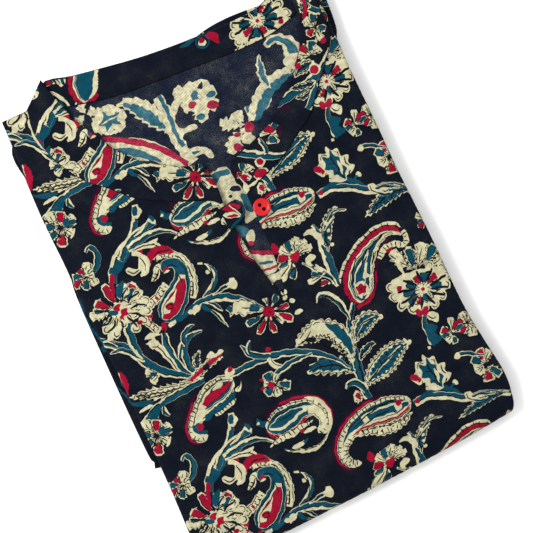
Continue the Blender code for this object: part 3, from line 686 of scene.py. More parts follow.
def draw_curled_paisley():
    """Curled paisley."""
    pts = [
        (-76, -3.5), (-70, -0.5), (-62, 5), (-54, 12.5), (-49.5, 20), (-49, 26), (-52.5, 30.5), (-58, 30.5),
        (-60, 27),
    ]
    s = Spine(pts, 1.2)
    # outer beaded border
    b = Spine([(-50, 2), (-46, 8), (-43.3, 17), (-44, 26), (-48, 33.5), (-55, 38.5), (-63, 38)], 1.3)
    form(b, CREAM, 3.4, "even", wave=(3.4, 0.5, "round"))
    ticks(b, 3.4, "even", 1, 0.3, 3.6, 0.03, 0.97, 3.4, 0.55)
    edge_line(b, 3.4, "even", 1, 3.2, 0.02, 0.98, 0.5, dash=12)
    c = Spine([(-47, 34.5), (-52, 40), (-59, 42), (-66, 38), (-68, 33)])
    form(c, CREAM, 3.3, "lens")
    form(c, RED, 3.4, "lens", shift=(-0.3, 0.3))
    disc(NAVY, -63.5, 35.8, 1.8, 1.2)
    line([(-50, 38.6), (-56, 41), (-62, 39.5)], 0.5)
    d = Spine([(-58, 33), (-63, 31.5), (-66, 27), (-71, 23)])
    form(d, CREAM, 2.6, "lens")
    ticks(d, 2.6, "lens", 1, 0, 4.6, 0.1, 0.8, 3.0, 0.5)
    line([(-62, 30), (-66, 25.5), (-71, 23)], 0.5)
    e = Spine([(-80, -10), (-84, -3), (-84, 4), (-79, 9.5), (-71, 13), (-62, 18.5)])
    form(e, CREAM, 3.0, "even", wave=(3.6, 0.5, "round"))
    ticks(e, 3.0, "even", -1, 0, 3.4, 0.05, 0.95, 3.3, 0.5)
    ticks(e, 3.0, "even", 1, 0, 3.2, 0.1, 0.9, 3.3, 0.5)
    form(Spine([(-84, 11), (-84, 5), (-81.5, 1)]), RED, 2.4, "lens")
    disc(RED, -82.5, -1.2, 1.1)
    form(Spine([(-74, 11.5), (-70, 13)]), RED, 1.2, "lens")
    form(s, CREAM, 9.2, "hook")
    form(s, TEAL, 9.2, "hook", left=0.3, right=0.3)
    rim(s, LINE, 9.2, "hook", 1, 1.9, 2.5, 0.04, 0.7)
    rim(s, LINE, 9.2, "hook", -1, 1.9, 2.5, 0.04, 0.75)
    form(s, CREAM, 9.2, "hook", left=3.0, right=2.8, t1=0.62)
    form(s, RED, 9.2, "hook", left=4.4, right=3.3, t0=0.03, t1=0.58)
    patch(CREAM, [(-73, 1), (-69, 5.5), (-61, 9.5), (-57, 13), (-61, 6), (-66, 2.5), (-68, -1)])
    disc(RED, -66.5, 3.2, 2.5, 1.3, 25)
    line([(-69, 1), (-64, 2), (-66, 5), (-69, 3.5)], 0.5)
    disc(RED, -58.2, 28, 1.7, 1.2)
    patch(CREAM, [(-60.5, 25.8), (-58, 25), (-56, 26), (-58, 26.8)])
    line([(-50, 26), (-53.5, 29), (-57, 29)], 0.5)
    line([(-51.5, 14), (-52, 22)], 0.45)
    rim(s, LINE, 9.2, "hook", 1, 4.2, 4.7, 0.02, 0.58)
    rim(s, LINE, 9.2, "hook", -1, 3.1, 3.6, 0.03, 0.58)
    rim(s, MAROON, 9.2, "hook", -1, -1.0, 0.1, 0.1, 0.5)
    disc(RED, -76, -8, 2.0, 1.6, 60)
    disc(RED, -81, 2.2, 1.3)
    disc(CREAM, -86, 8, 2.4)
    disc(CREAM, -82, 13, 2.2)
    line([(-87, 6), (-85, 9), (-82, 11)], 0.42)
    # joint below the curled paisley, and its stem
    stem([(-78, -12), (-80, -20), (-79.5, -32), (-76, -43), (-68, -53)], 2.2, light=1, cream_w=1.2)
    line([(-76, -9), (-79, -14), (-78, -22)], 0.5)
    form(Spine([(-72, -6), (-64, -7.5), (-56, -5.5), (-50, -1)]), TEAL, 1.9, "lens")
    form(Spine([(-74, -9), (-69, -8.5), (-66, -8)]), CREAM, 1.8, "lens", wave=(3, 0.6, "round"))
    form(Spine([(-58, -7.5), (-54, -6.5), (-51, -6)]), CREAM, 1.5, "lens")
    trumpet([(-79, -42), (-82, -30), (-85, -20), (-88, -14)], 2.8, None)
    line([(-92, -9.5), (-86, -11), (-81, -13)], 0.5)
    disc(CREAM, -88, -16, 3.4)
    line([(-90, -17.5), (-86, -19), (-84, -18)], 0.45)
    ticks(Spine([(-92, -19), (-90, -13)]), 0.2, "even", 1, -2.4, 0, 0.1, 0.9, 2.2, 0.45)
    patch(CREAM, [(-92.5, -10.5), (-88, -8.2), (-83, -9), (-80.5, -12.5), (-84, -11.5), (-88, -11.8)])
    # the two stems to the left
    stem(
        [(-122, 2), (-112, -5), (-103, -14), (-97, -26), (-89, -36), (-78, -44), (-70, -50)], 2.7, light=-1,
        cream_w=1.6,
    )
    hook_leaf([(-121, 0), (-115, -3), (-110, -8)], 2.2, light=1)
    line([(-118, 3), (-112, -4), (-108, -9)], 0.5)
    hook_leaf([(-119, -9.5), (-111, -10), (-104, -16), (-98, -26)], 2.3, light=-1)
    stem([(-98, 8), (-99, -2), (-99.5, -12), (-98, -22)], 2.0, light=-1, cream_w=2.2)
    petals(-99, 5, ((20, 0, 10, 1.7, TEAL, "plain"), (160, 0, 8, 1.5, TEAL, "plain")))
    form(Spine([(-98, 1), (-94, -1), (-92, 0)]), TEAL, 1.0, "lens")
    petals(
        -92, -36,
        (
            (150, 1, 11, 2.8, None, "spiky"), (178, 1, 9, 2.2, TEAL, "plain"),
            (205, 1, 10, 2.6, None, "lobed"),
        ),
    )
    # fronds
    stem([(-70, -47), (-71.5, -38), (-69, -28), (-62, -21.5), (-53, -22)], 1.6, light=1, cream_w=1.3)
    hook_leaf([(-76, -34), (-72, -26), (-66, -21)], 1.7, light=1)
    stem([(-68, -27), (-66.5, -20), (-61, -16), (-56, -15.5)], 1.2, light=1, cream_w=1.0)
    leaf([(-68, -46), (-65, -38), (-60, -33)], 2.6, teeth=(2.6, 0.9, "round"), inner=1.2, veins=0)
    line([(-64, -37), (-61, -39), (-63, -41), (-66, -40)], 0.5, step=2)
    c = Spine([(-81, -51), (-73, -49.5), (-64, -46), (-55, -43.5), (-48, -42.5)])
    form(c, CREAM, 2.9, "even", wave=(4.2, 1.1, "round"))
    form(c, RED, 1.5, "even")
    disc(NAVY, -61, -46, 2.2, 1.2, 15)
    patch(CREAM, [(-58, -40.5), (-54, -37.5), (-51, -40), (-47, -38.5), (-46, -41.5), (-52, -42)])
    ticks(c, 2.9, "even", -1, 0.2, 2.0, 0.45, 0.95, 4.0, 0.45)
    # long cream leaf to the left
    leaf(
        [(-68, -52.5), (-82, -51.5), (-95, -49.5), (-108, -45.5), (-120, -43)], 4.2,
        teeth=(5.0, 1.9, "teeth"), inner=3, ink=None, veins=0,
    )
    zigzag([(-117, -45), (-108, -47), (-95, -51), (-82, -53)], 2.6, 3.6)
    line([(-114, -46), (-98, -50.5), (-80, -53)], 0.45)
    stem([(-66, -53.5), (-80, -54.5), (-94, -55.5), (-106, -58), (-121, -64)], 1.9, light=-1, cream_w=1.1)
    hook_leaf([(-99, -57), (-100.5, -62), (-97, -67)], 2.0, light=1)
    form(Spine([(-106, -60), (-106.5, -65)]), CREAM, 0.9, "lens")
    form(Spine([(-122, -46), (-114, -50), (-103, -53)]), TEAL, 2.0, "lens")
    form(Spine([(-118, -56), (-110, -54), (-104, -55.5)]), CREAM, 1.2, "lens")
    form(Spine([(-114, -65), (-108, -62), (-102, -58)]), TEAL, 2.0, "lens", wave=(3, 0.7, "round"))
    # joint right of the curled paisley
    stem(
        [(-51, -3), (-42, -2.5), (-32, -4.5), (-22, -10), (-13, -18), (-7, -26)], 1.7, light=-1,
        cream_w=2.4,
    )
    s = hook_leaf([(-44, -1), (-36, 2), (-30, 7), (-28.5, 14), (-33, 21)], 2.1, light=1)
    form(Spine([(-32, 11), (-32.5, 17)]), CREAM, 1.3, "lens")
    form(Spine([(-36, 22.5), (-33, 21)]), CREAM, 0.9, "even")
    trumpet([(-36, -2.5), (-28, -1), (-21, -0.5)], 2.1, TEAL, False)
    disc(CREAM, -20, -1.5, 3.2, 1.0)
    disc(CREAM, -19.5, 1.2, 2.0)
    hook_leaf([(-48, -4), (-42, -10), (-38, -18), (-35, -28)], 1.5, light=1)
    form(Spine([(-47, -4), (-43, -9), (-40, -13)]), TEAL, 2.2, "lens")
    hook_leaf([(-42, -4), (-37, -10), (-33, -16)], 1.4, light=-1)
    line([(-44, -5), (-40, -11), (-37, -16)], 0.5)
    disc(CREAM, -50, -6, 2.6, 1, 0)
    form(Spine([(-54, -8.5), (-51, -7)]), CREAM, 1.2, "even")


def draw_five_petal_flower():
    """Five-petal flower."""
    petals(
        -5, -29,
        (
            (150, 3, 26, 5.6, None, "lobed"), (145, 5, 15, 3.6, TEAL, "plain"),
            (186, 4, 20, 2.6, TEAL, "plain"), (222, 4, 19, 2.7, RED, "plain"),
            (262, 4, 17, 2.5, RED, "plain"), (318, 4, 19, 3.4, RED, "plain"),
            (298, 3, 14, 1.8, None, "plain"), (352, 4, 16, 2.2, RED, "plain"),
            (40, 4, 14, 2.6, TEAL, "plain"), (84, 4, 11, 2.0, None, "plain"),
        ),
    )
    petals(-28, -20, ((170, 0, 4, 1.8, None, "plain"), (110, 0, 7, 2.4, TEAL, "plain")))
    disc(RED, -5.3, -29.3, 4.0, bumps=6, depth=0.1)
    disc(LINE, -4.6, -29.6, 0.6)
    disc(CREAM, 14, -38, 1.7, 1.8)
    disc(RED, -17, -53, 1.6, 1.3)


def draw_slit_blossom():
    """Blossom by the slit."""
    petals(
        27, -2,
        (
            (95, 2, 13, 3.8, TEAL, "plain"), (58, 2, 15, 2.8, None, "spiky"),
            (30, 2, 15, 3.0, None, "spiky"), (8, 2, 15, 2.6, None, "spiky"),
            (128, 2, 13, 3.2, None, "plain"), (160, 2, 13, 3.6, RED, "plain"),
            (196, 3, 15, 2.6, TEAL, "plain"), (214, 4, 22, 4.0, None, "plain"),
            (238, 5, 17, 3.0, TEAL, "plain"),
        ),
    )
    disc(RED, 27.5, -2, 3.2, 1.25, 25, bumps=3, depth=0.16)
    patch(RED, [(14, 8), (17, 13), (20, 7), (16, 5)])
    trumpet([(30, -8), (34, -13), (38, -18)], 1.6, None, False)
    patch(CREAM, [(33, -7.5), (37, -5), (40, -6), (40, -9), (36, -10), (36.5, -14), (33.5, -12)])
    form(Spine([(34, -12), (37, -15)]), TEAL, 1.0, "lens")
    line([(16, -15), (20, -11), (26, -8.5)], 0.5)
    line([(18, -17), (23, -13)], 0.5)
    # tendril of beads at the slit's end
    for x, y, r in (
        (10, -13, 1.8), (9, -17, 1.6), (10, -21, 1.9), (9, -25, 1.7), (13, -29, 1.6), (6, -12, 1.0),
        (11.5, -9.5, 1.0),
    ):
        disc(CREAM, x, y, r, 1.15, 40)
    line([(10, -12), (9.3, -18), (9.5, -24)], 0.45)


def draw_four_petal_flower():
    """Small four-petal flower."""
    petals(
        -23, -77,
        (
            (105, 1, 11, 4.0, TEAL, "lobed"), (205, 1, 10, 3.4, TEAL, "lobed"),
            (332, 1, 12, 3.8, TEAL, "lobed"), (270, 1, 9, 3.2, None, "lobed"),
            (150, 1, 9, 2.6, None, "plain"), (55, 1, 9, 2.4, None, "plain"),
        ),
    )
    disc(RED, -25.5, -76.5, 2.3, bumps=4, depth=0.15)
    disc(RED, -31.5, -76, 1.4)
    disc(RED, -30, -70, 1.1)


def draw_big_blossom():
    """Big blossom."""
    petals(
        -99, 16,
        (
            (12, 3, 21, 3.6, None, "spiky"), (-8, 3, 18, 4.2, None, "lobed"),
            (-28, 3, 17, 3.4, None, "lobed"), (-60, 3, 13, 3.2, None, "lobed"),
            (-90, 2, 12, 4.0, None, "lobed"), (-122, 3, 15, 3.4, None, "lobed"),
            (-150, 3, 19, 3.6, None, "lobed"), (172, 3, 22, 4.0, None, "spiky"),
            (160, 6, 20, 2.4, TEAL, "plain"), (140, 5, 19, 3.8, RED, "lobed"),
            (98, 2, 22, 3.4, RED, "plain"), (60, 3, 19, 3.6, None, "lobed"), (38, 4, 22, 3.8, RED, "lobed"),
            (28, 6, 19, 2.6, TEAL, "plain"),
        ),
    )
    disc(CREAM, -98, 15, 5.5, 1.5, 0, bumps=7, depth=0.1)
    patch(RED, [(-103, 18.6), (-97, 19.4), (-100, 14.8)])
    patch(RED, [(-101.5, 11.5), (-98, 11.7), (-100, 8.6)])
    line([(-106, 12), (-107, 15), (-103, 13), (-104, 10.5)], 0.5, step=2)
    line([(-94, 17), (-89, 16), (-86, 18)], 0.5)
    line([(-96, 12), (-91, 9), (-86, 10)], 0.5)
    line([(-106, 20), (-101, 22), (-95, 21.5), (-92, 18)], 0.5)
    disc(RED, -111, 3.5, 1.8, 1.6, -50)
    patch(CREAM, [(-116, -2 + 2), (-112, -1), (-108, 3), (-104, 2), (-103, 5), (-110, 7)])
    for x, y, r, turn in (
        (-80, 14, 3.2, 0), (-82, 7, 3.4, -30), (-87, 2, 3.2, -50), (-94, -0.5, 3.6, -85),
        (-108, 1, 3.0, -130), (-113, 7, 3.0, -160), (-90, 26, 3.2, 70), (-84, 20.5, 3.2, 35),
    ):
        lobe(x, y, r, turn)
    for x, y, r, turn in ((-91, 8, 2.8, -40), (-101, 5, 2.8, -100), (-88, 14, 2.8, 0)):
        lobe(x, y, r, turn)
    for turn in (-72, -44, -14, 22, 52, 118, 150, 196, 222, 250):
        a = math.radians(turn)
        line(
            [
                (-99 + 7.5 * math.cos(a), 15 + 6.5 * math.sin(a)),
                (-99 + 12 * math.cos(a + 0.12), 15 + 11 * math.sin(a + 0.12)),
                (-99 + 19 * math.cos(a), 15 + 16 * math.sin(a)),
            ],
            0.9, NAVY,
        )
    patch(TEAL, [(-95, 23), (-91, 28), (-88, 33), (-93, 32), (-97, 27)])
    disc(RED, -97, 12.5, 2.6, 1.3, 30, bumps=4, depth=0.15)
    disc(RED, -90, 1.5, 1.5, 1.4)
    disc(TEAL, -104, 15.5, 2.2, 1.5, -20)
    # branch over the big blossom
    stem(
        [(-95, 34), (-90, 43), (-81, 51), (-71, 56), (-66, 62), (-62, 70), (-60, 76)], 1.9, light=1,
        cream_w=2.6,
    )
    form(Spine([(-91, 38), (-84, 46), (-74, 50)]), TEAL, 2.8, "lens")
    stem([(-84, 46), (-74, 55), (-62, 59), (-51, 61)], 1.7, light=1, cream_w=1.8, end="even")
    hook_leaf([(-70, 57), (-60, 59.5), (-52, 66)], 2.2, light=1)
    form(Spine([(-55, 64), (-50.5, 61)]), CREAM, 1.6, "even")
    patch(TEAL, [(-54, 66.5), (-52, 67), (-50.5, 63), (-53, 62)])
    stem([(-76, 51), (-66, 53), (-55, 54), (-46, 51), (-38, 45)], 1.2, light=1, cream_w=2.2, end="taper")
    trumpet([(-76, 50), (-67, 49), (-56, 47.5)], 2.4, None)
    disc(RED, -70, 46, 2.4, 1.1)
    line([(-66, 49), (-60, 48), (-56, 44)], 0.45)
    patch(
        CREAM,
        [
            (-73, 49), (-68, 44), (-66, 38), (-70, 31), (-76, 30), (-74, 34), (-80, 33), (-84, 38),
            (-82, 40), (-77, 36.5), (-74, 39), (-72, 44), (-76, 46),
        ],
    )
    line([(-71, 44), (-70, 38), (-71, 33)], 0.5)
    line([(-83, 38), (-79, 34), (-75, 36)], 0.5)
    disc(CREAM, -60, 72, 3.4, 1.2, 60)
    form(Spine([(-61.5, 70), (-59, 78)]), CREAM, 2.6, "even")
    form(Spine([(-61.5, 70.5), (-60, 77)]), TEAL, 1.9, "even")
    line([(-63, 68), (-59, 68.5), (-57, 71)], 0.5)
    form(Spine([(-95, 40), (-91, 46)]), TEAL, 1.6, "lens")
    patch(RED, [(-98, 35), (-95, 41), (-92.5, 40), (-95, 34), (-99, 24), (-101, 22)])
    # comma on the left
    stem([(-105, 47), (-99, 52), (-97, 59), (-100, 65), (-104, 62)], 1.7, light=1, cream_w=1.1, end="stem")
    # small blossom at the left edge
    petals(
        -110, 47,
        (
            (70, 1, 10, 3.4, None, "lobed"), (35, 0, 7, 2.4, None, "plain"), (120, 0, 8, 2.4, RED, "plain"),
            (-20, 0, 7, 2.2, None, "plain"), (-70, 1, 10, 3.2, None, "lobed"),
            (-120, 1, 11, 3.0, TEAL, "spiky"), (170, 1, 11, 3.2, TEAL, "spiky"),
            (-160, 3, 14, 3.0, RED, "spiky"),
        ),
    )
    # blossom at the left edge
    petals(
        -112, -75,
        (
            (20, 1, 13, 3.0, None, "spiky"), (0, 2, 12, 2.6, TEAL, "plain"), (70, 1, 12, 3.8, RED, "lobed"),
            (110, 2, 15, 3.6, None, "lobed"), (150, 2, 13, 2.8, TEAL, "spiky"),
            (-160, 2, 14, 3.0, TEAL, "spiky"), (-110, 2, 15, 3.6, RED, "lobed"),
            (-50, 1, 11, 3.2, None, "spiky"),
        ),
    )
    disc(RED, -117, -84, 1.9)
    patch(TEAL, [(-110, -72), (-105, -71), (-106, -76), (-109, -77)])
    # paisley tail at the left edge
    s = Spine([(-118, -23), (-117, -30), (-120, -38), (-124, -46)])
    form(s, CREAM, 2.0, "lens", shift=(-1, 0.4))
    form(s, RED, 2.8, "lens", wave=(3, 0.5, "round"))


def draw_right_branch():
    """Branch right of the oblique paisley."""
    stem(
        [(60, -129), (68, -128), (76, -130), (86, -135), (95, -141), (106, -143), (116, -148), (126, -156)],
        1.5, light=-1, cream_w=2.5, end="even",
    )
    form(Spine([(60, -129.5), (65, -129)]), RED, 1.7, "lens")
    form(Spine([(63, -127.5), (74, -126.5), (84, -129), (94, -138)]), TEAL, 1.8, "lens")
    patch(
        CREAM,
        [
            (82, -129), (76, -127), (71, -124), (73, -120), (68, -119), (65, -113), (70, -110), (72, -104),
            (77, -106), (79, -101), (82, -105), (86, -106), (86, -111), (91, -113), (89, -118), (92, -121),
            (88, -125), (84, -126),
        ],
    )
    patch(
        TEAL,
        [
            (82, -128), (79, -123), (76, -122), (77, -118), (72, -116), (74, -112), (74, -107), (78, -109),
            (81, -104), (82, -110), (85, -112), (84, -117), (87, -121), (84, -124),
        ],
    )
    line([(82, -127), (80.5, -118), (79, -108)], 0.6)
    line([(80.8, -120), (84, -117)], 0.45)
    line([(80, -115), (76, -113)], 0.45)
    line([(81, -122), (78, -120)], 0.45)
    for row in (
        [(73, -123), (70, -121), (72, -118.5)], [(68, -117), (67, -113), (70, -112)],
        [(72, -109), (74, -105.5), (77, -107.5)], [(83, -107), (85, -108), (84.5, -111)],
        [(88, -113), (87, -117), (89, -120)], [(85.5, -126), (88, -123)],
    ):
        line(row, 0.5)
    patch(CREAM, [(82, -124), (84, -118), (83, -113), (81.5, -118)])
    disc(RED, 67.5, -113.5, 2.3, 1.4, -50)
    disc(RED, 70, -116.5, 1.6)
    disc(CREAM, 92, -128.5, 1.9)
    form(Spine([(86, -131), (91, -129)]), TEAL, 0.9, "even")
    disc(CREAM, 97, -141, 3.2)
    leaf(
        [(124, -153), (112, -150), (98, -152), (83, -158)], 4.6, teeth=(4.4, 1.8, "teeth"), inner=1.5,
        veins=4,
    )
    hook_leaf([(97, -144), (102, -148.5), (110, -149.5)], 1.6, light=1)
    stem([(98, -142), (106, -143.5), (114, -149)], 0.9, light=-1, cream_w=1.1)
    line([(96, -139), (95, -142), (98, -145)], 0.5)


def draw_lobed_blossom():
    """Lobed blossom."""
    petals(
        100, -50,
        (
            (60, 6, 24, 4.4, None, "spiky"), (84, 4, 22, 3.4, TEAL, "spiky"),
            (112, 6, 26, 4.2, None, "spiky"), (38, 8, 26, 4.0, TEAL, "spiky"),
            (14, 8, 24, 3.0, None, "spiky"),
        ),
    )
    patch(
        CREAM,
        [
            (80, -47), (88, -45), (100, -46), (111, -49), (119, -55), (117, -62), (112, -68), (104, -73),
            (96, -72), (88, -71), (82, -66), (79, -59),
        ],
    )
    for x, y, r, turn in (
        (79, -50, 3.4, 150), (78.5, -57, 3.4, 185), (81, -64.5, 3.6, 215), (87, -70, 3.6, 245),
        (94.5, -72.5, 3.4, 265), (102, -73, 3.2, 280), (109, -69.5, 3.4, 310), (114.5, -64, 3.4, 330),
        (118.5, -58, 3.0, 0), (117, -51.5, 3.0, 30), (110, -47, 3.0, 70),
    ):
        lobe(x, y, r, turn)
    petals(
        99, -60,
        (
            (100, 2, 12, 3.0, RED, "plain"), (64, 2, 13, 3.4, TEAL, "spiky"),
            (134, 2, 14, 3.6, TEAL, "spiky"), (168, 3, 16, 3.2, TEAL, "lobed"),
            (20, 3, 15, 2.8, RED, "lobed"), (-14, 3, 15, 3.6, TEAL, "spiky"),
            (-52, 2, 11, 3.2, None, "plain"), (-92, 2, 10, 3.4, TEAL, "plain"),
            (-132, 3, 13, 2.8, RED, "plain"), (-160, 3, 16, 3.2, TEAL, "spiky"),
        ),
    )
    disc(CREAM, 99, -60, 2.6)
    disc(RED, 99, -60, 1.6, bumps=5, depth=0.12)
    disc(RED, 84, -53, 1.6, 1.4, 40)
    disc(RED, 110, -54, 1.6, 1.3)
    zigzag([(84, -67), (92, -69), (101, -70), (109, -65.5)], 1.7, 3.0, 0.45)
    for turn in (-30, 5, 48, 82, 118, 152, 190, 215, 245, 275, 305):
        a = math.radians(turn)
        line(
            [
                (99 + 6 * math.cos(a), -60 + 5 * math.sin(a)),
                (99 + 19 * math.cos(a + 0.08), -60 + 13 * math.sin(a + 0.08)),
            ],
            1.15, NAVY,
        )
    disc(NAVY, 104.5, -66, 1.1, 1.5, 20)
    disc(NAVY, 90, -65, 1.1, 1.5, -20)
    disc(NAVY, 107, -50.5, 1.0, 1.6)
    patch(
        RED,
        [
            (87, -72), (90, -71), (92.3, -73.3), (95, -71.6), (97, -73), (96, -76), (92.5, -78.6),
            (89, -76.5),
        ],
    )
    stem([(92, -77), (90, -84), (91, -92), (90, -98)], 2.6, light=-1, cream_w=1.3, end="horn")
    patch(CREAM, [(97, -76), (101, -80), (99, -85), (95.5, -82), (93, -79)])
    line([(94, -78), (97, -82), (99, -81)], 0.5)
    form(Spine([(86.5, -99), (84.5, -98.5)]), CREAM, 1.0, "even")
    patch(TEAL, [(92, -84), (97, -88), (94, -92), (97, -96), (91, -99), (88, -98), (88, -86)])
    line([(88.5, -30), (91, -36), (89, -46)], 0.5)
    form(Spine([(92, -47), (90.5, -40), (92, -33)]), CREAM, 1.7, "horn")


def draw_small_blossoms():
    """Small blossoms at the right."""
    petals(
        105, -97,
        (
            (75, 1, 13, 2.2, None, "plain"), (140, 1, 10, 2.8, RED, "lobed"),
            (175, 1, 9, 2.4, TEAL, "plain"), (-150, 1, 8, 2.4, None, "lobed"),
            (-100, 1, 8, 2.4, TEAL, "lobed"), (20, 1, 10, 3.2, TEAL, "spiky"),
            (50, 1, 10, 2.2, RED, "plain"),
        ),
    )
    petals(
        117, -94,
        (
            (100, 1, 9, 3.2, None, "lobed"), (150, 1, 8, 2.4, RED, "plain"), (40, 1, 9, 3.0, None, "lobed"),
            (-90, 1, 11, 3.6, None, "spiky"), (-40, 1, 10, 3.0, None, "spiky"),
            (-140, 1, 10, 2.6, RED, "plain"),
        ),
    )


def draw_right_blossom():
    """Blossom at the right edge."""
    petals(
        116, -126,
        (
            (170, 1, 9, 3.2, None, "lobed"), (130, 1, 11, 3.4, TEAL, "lobed"),
            (-150, 1, 9, 2.6, None, "spiky"), (90, 1, 13, 3.4, RED, "lobed"),
            (50, 1, 12, 3.0, None, "spiky"), (-100, 2, 13, 3.6, RED, "spiky"),
            (-60, 2, 14, 3.4, TEAL, "spiky"),
        ),
    )
    stem([(101, -112), (106, -112), (112, -116), (118, -119)], 1.0, light=-1, cream_w=1.0)
    disc(CREAM, 101, -112.5, 2.3)
    petals(
        120, -16,
        ((180, 0, 6, 2.0, TEAL, "plain"), (130, 0, 8, 2.4, None, "plain"), (230, 0, 8, 2.4, RED, "plain")),
    )


def draw_print():
    """The whole design, in the order of printing."""
    draw_main_stem()
    draw_oblique_paisley()
    draw_long_paisley()
    draw_oval_paisley()
    draw_hooked_paisley()
    draw_curled_paisley()
    draw_five_petal_flower()
    draw_slit_blossom()
    draw_four_petal_flower()
    draw_big_blossom()
    draw_right_branch()
    draw_lobed_blossom()
    draw_small_blossoms()
    draw_right_blossom()


# ------------------------------------------------------------------ cloth as printed meshes


def inside(points, ring):
    """True for the points that a ring winds round, however it crosses itself."""
    if len(points) * len(ring) > 4_000_000:
        return np.concatenate([inside(part, ring) for part in np.array_split(points, 16)])
    a, b = ring, np.roll(ring, -1, axis=0)
    x, y = points[:, 0][:, None], points[:, 1][:, None]
    up = (a[:, 1] <= y) & (b[:, 1] > y)
    down = (a[:, 1] > y) & (b[:, 1] <= y)
    side = (b[:, 0] - a[:, 0]) * (y - a[:, 1]) - (x - a[:, 0]) * (b[:, 1] - a[:, 1])
    return ((up & (side > 0)).sum(1) - (down & (side < 0)).sum(1)) != 0


def nearest(points, path, within):
    """Distance from each point to a path, no further than within, and the nearest points on it."""
    best = np.full(len(points), float(within))
    foot = points.copy()
    order = np.argsort(points[:, 1])
    rising = points[order, 1]
    for a, b in zip(path, path[1:]):
        low, high = np.minimum(a, b) - within, np.maximum(a, b) + within
        near = order[np.searchsorted(rising, low[1]) : np.searchsorted(rising, high[1])]
        near = near[(points[near, 0] > low[0]) & (points[near, 0] < high[0])]
        if not len(near):
            continue
        ahead = b - a
        t = np.clip(((points[near] - a) @ ahead) / max(ahead @ ahead, 1e-9), 0, 1)
        on = a + t[:, None] * ahead
        gap = np.hypot(*(points[near] - on).T)
        closer = gap < best[near]
        best[near[closer]], foot[near[closer]] = gap[closer], on[closer]
    return best, foot


def tiled(items, low, high, turn=None, shift=(0.0, 0.0), repeat=True):
    """The print's outlines that reach a cloth's rectangle, turned and shifted, with the block repeated."""
    turn = np.eye(2) if turn is None else np.array(turn, float)
    found = []
    steps = [(0, 0)] if not repeat else [(i, k) for i in (-1, 0, 1) for k in range(-5, 6)]
    placed = [(ink, points, points.min(0), points.max(0)) for ink, points in items]
    for i, k in steps:
        step = REPEAT * (i, k)
        for ink, points, first, last in placed:
            corners = np.array([(x, y) for x in (first[0], last[0]) for y in (first[1], last[1])]) + step
            corners = corners @ turn.T + shift
            if (corners.max(0) > low).all() and (corners.min(0) < high).all():
                found.append((ink, (points + step) @ turn.T + shift))
    return found


def inner_points(outline, spacing, rows=()):
    """Points inside an outline: a staggered grid, and rows at the given distances from its edge."""
    low, high = outline.min(0), outline.max(0)
    x = np.arange(low[0], high[0], spacing)
    y = np.arange(low[1], high[1], spacing * 0.87)
    grid = np.array([(a + (k % 2) * spacing / 2, b) for k, b in enumerate(y) for a in x])
    ring = through(outline, 2.2, True)
    ahead = np.roll(ring, -1, axis=0) - np.roll(ring, 1, axis=0)
    length = np.linalg.norm(ahead, axis=1, keepdims=True)
    inward = np.stack([-ahead[:, 1], ahead[:, 0]], 1) / np.maximum(length, 1e-9)
    probe = ring + inward * 0.5
    if inside(probe, outline).mean() < 0.5:
        inward = -inward
    near = [ring + inward * reach for reach in rows]
    margin = max(rows, default=0) + 0.7
    clear = nearest(grid, np.vstack([outline, outline[:1]]), margin)[0] >= margin
    points = np.vstack([grid[clear], *near])
    return points[inside(points, outline)]


def triangulate(outline, items, points):
    """Triangles inside an outline that keep every printed edge: corners, faces and an ink for each face."""
    corners = [outline, *(ring for _, ring in items), points]
    edges = []
    first = 0
    for ring in corners[:-1]:
        count = len(ring)
        edges.extend((first + k, first + (k + 1) % count) for k in range(count))
        first += count
    made = geometry.delaunay_2d_cdt([Vector(p) for p in np.vstack(corners)], edges, [], 0, 1e-4)
    flat = np.array([tuple(v) for v in made[0]])
    faces = np.array(made[2], int)
    middle = flat[faces].mean(1)
    faces = faces[inside(middle, outline)]
    a, b, c = flat[faces[:, 0]], flat[faces[:, 1]], flat[faces[:, 2]]
    area = (b[:, 0] - a[:, 0]) * (c[:, 1] - a[:, 1]) - (b[:, 1] - a[:, 1]) * (c[:, 0] - a[:, 0])
    faces, area = faces[np.abs(area) > 1e-5], area[np.abs(area) > 1e-5]
    faces[area < 0] = faces[area < 0][:, ::-1]
    used, again = np.unique(faces, return_inverse=True)
    flat, faces = flat[used], again.reshape(-1, 3)
    return flat, faces, painted(flat[faces].mean(1), items)


def painted(middle, items):
    """The ink at each point, with the outlines laid on in order."""
    order = np.argsort(middle[:, 1])
    rising = middle[order, 1]
    ink = np.zeros(len(middle), int)
    for code, ring in items:
        low, high = ring.min(0), ring.max(0)
        near = order[np.searchsorted(rising, low[1]) : np.searchsorted(rising, high[1])]
        near = near[(middle[near, 0] > low[0]) & (middle[near, 0] < high[0])]
        near = near[inside(middle[near], ring)]
        ink[near] = code
    return ink


def normals_of(place, flat, step=0.04):
    across = place(flat + (step, 0)) - place(flat - (step, 0))
    along = place(flat + (0, step)) - place(flat - (0, step))
    normal = np.cross(across, along)
    length = np.linalg.norm(normal, axis=1, keepdims=True)
    return np.where(length > 1e-9, normal / np.maximum(length, 1e-9), (0.0, 0.0, 1.0))


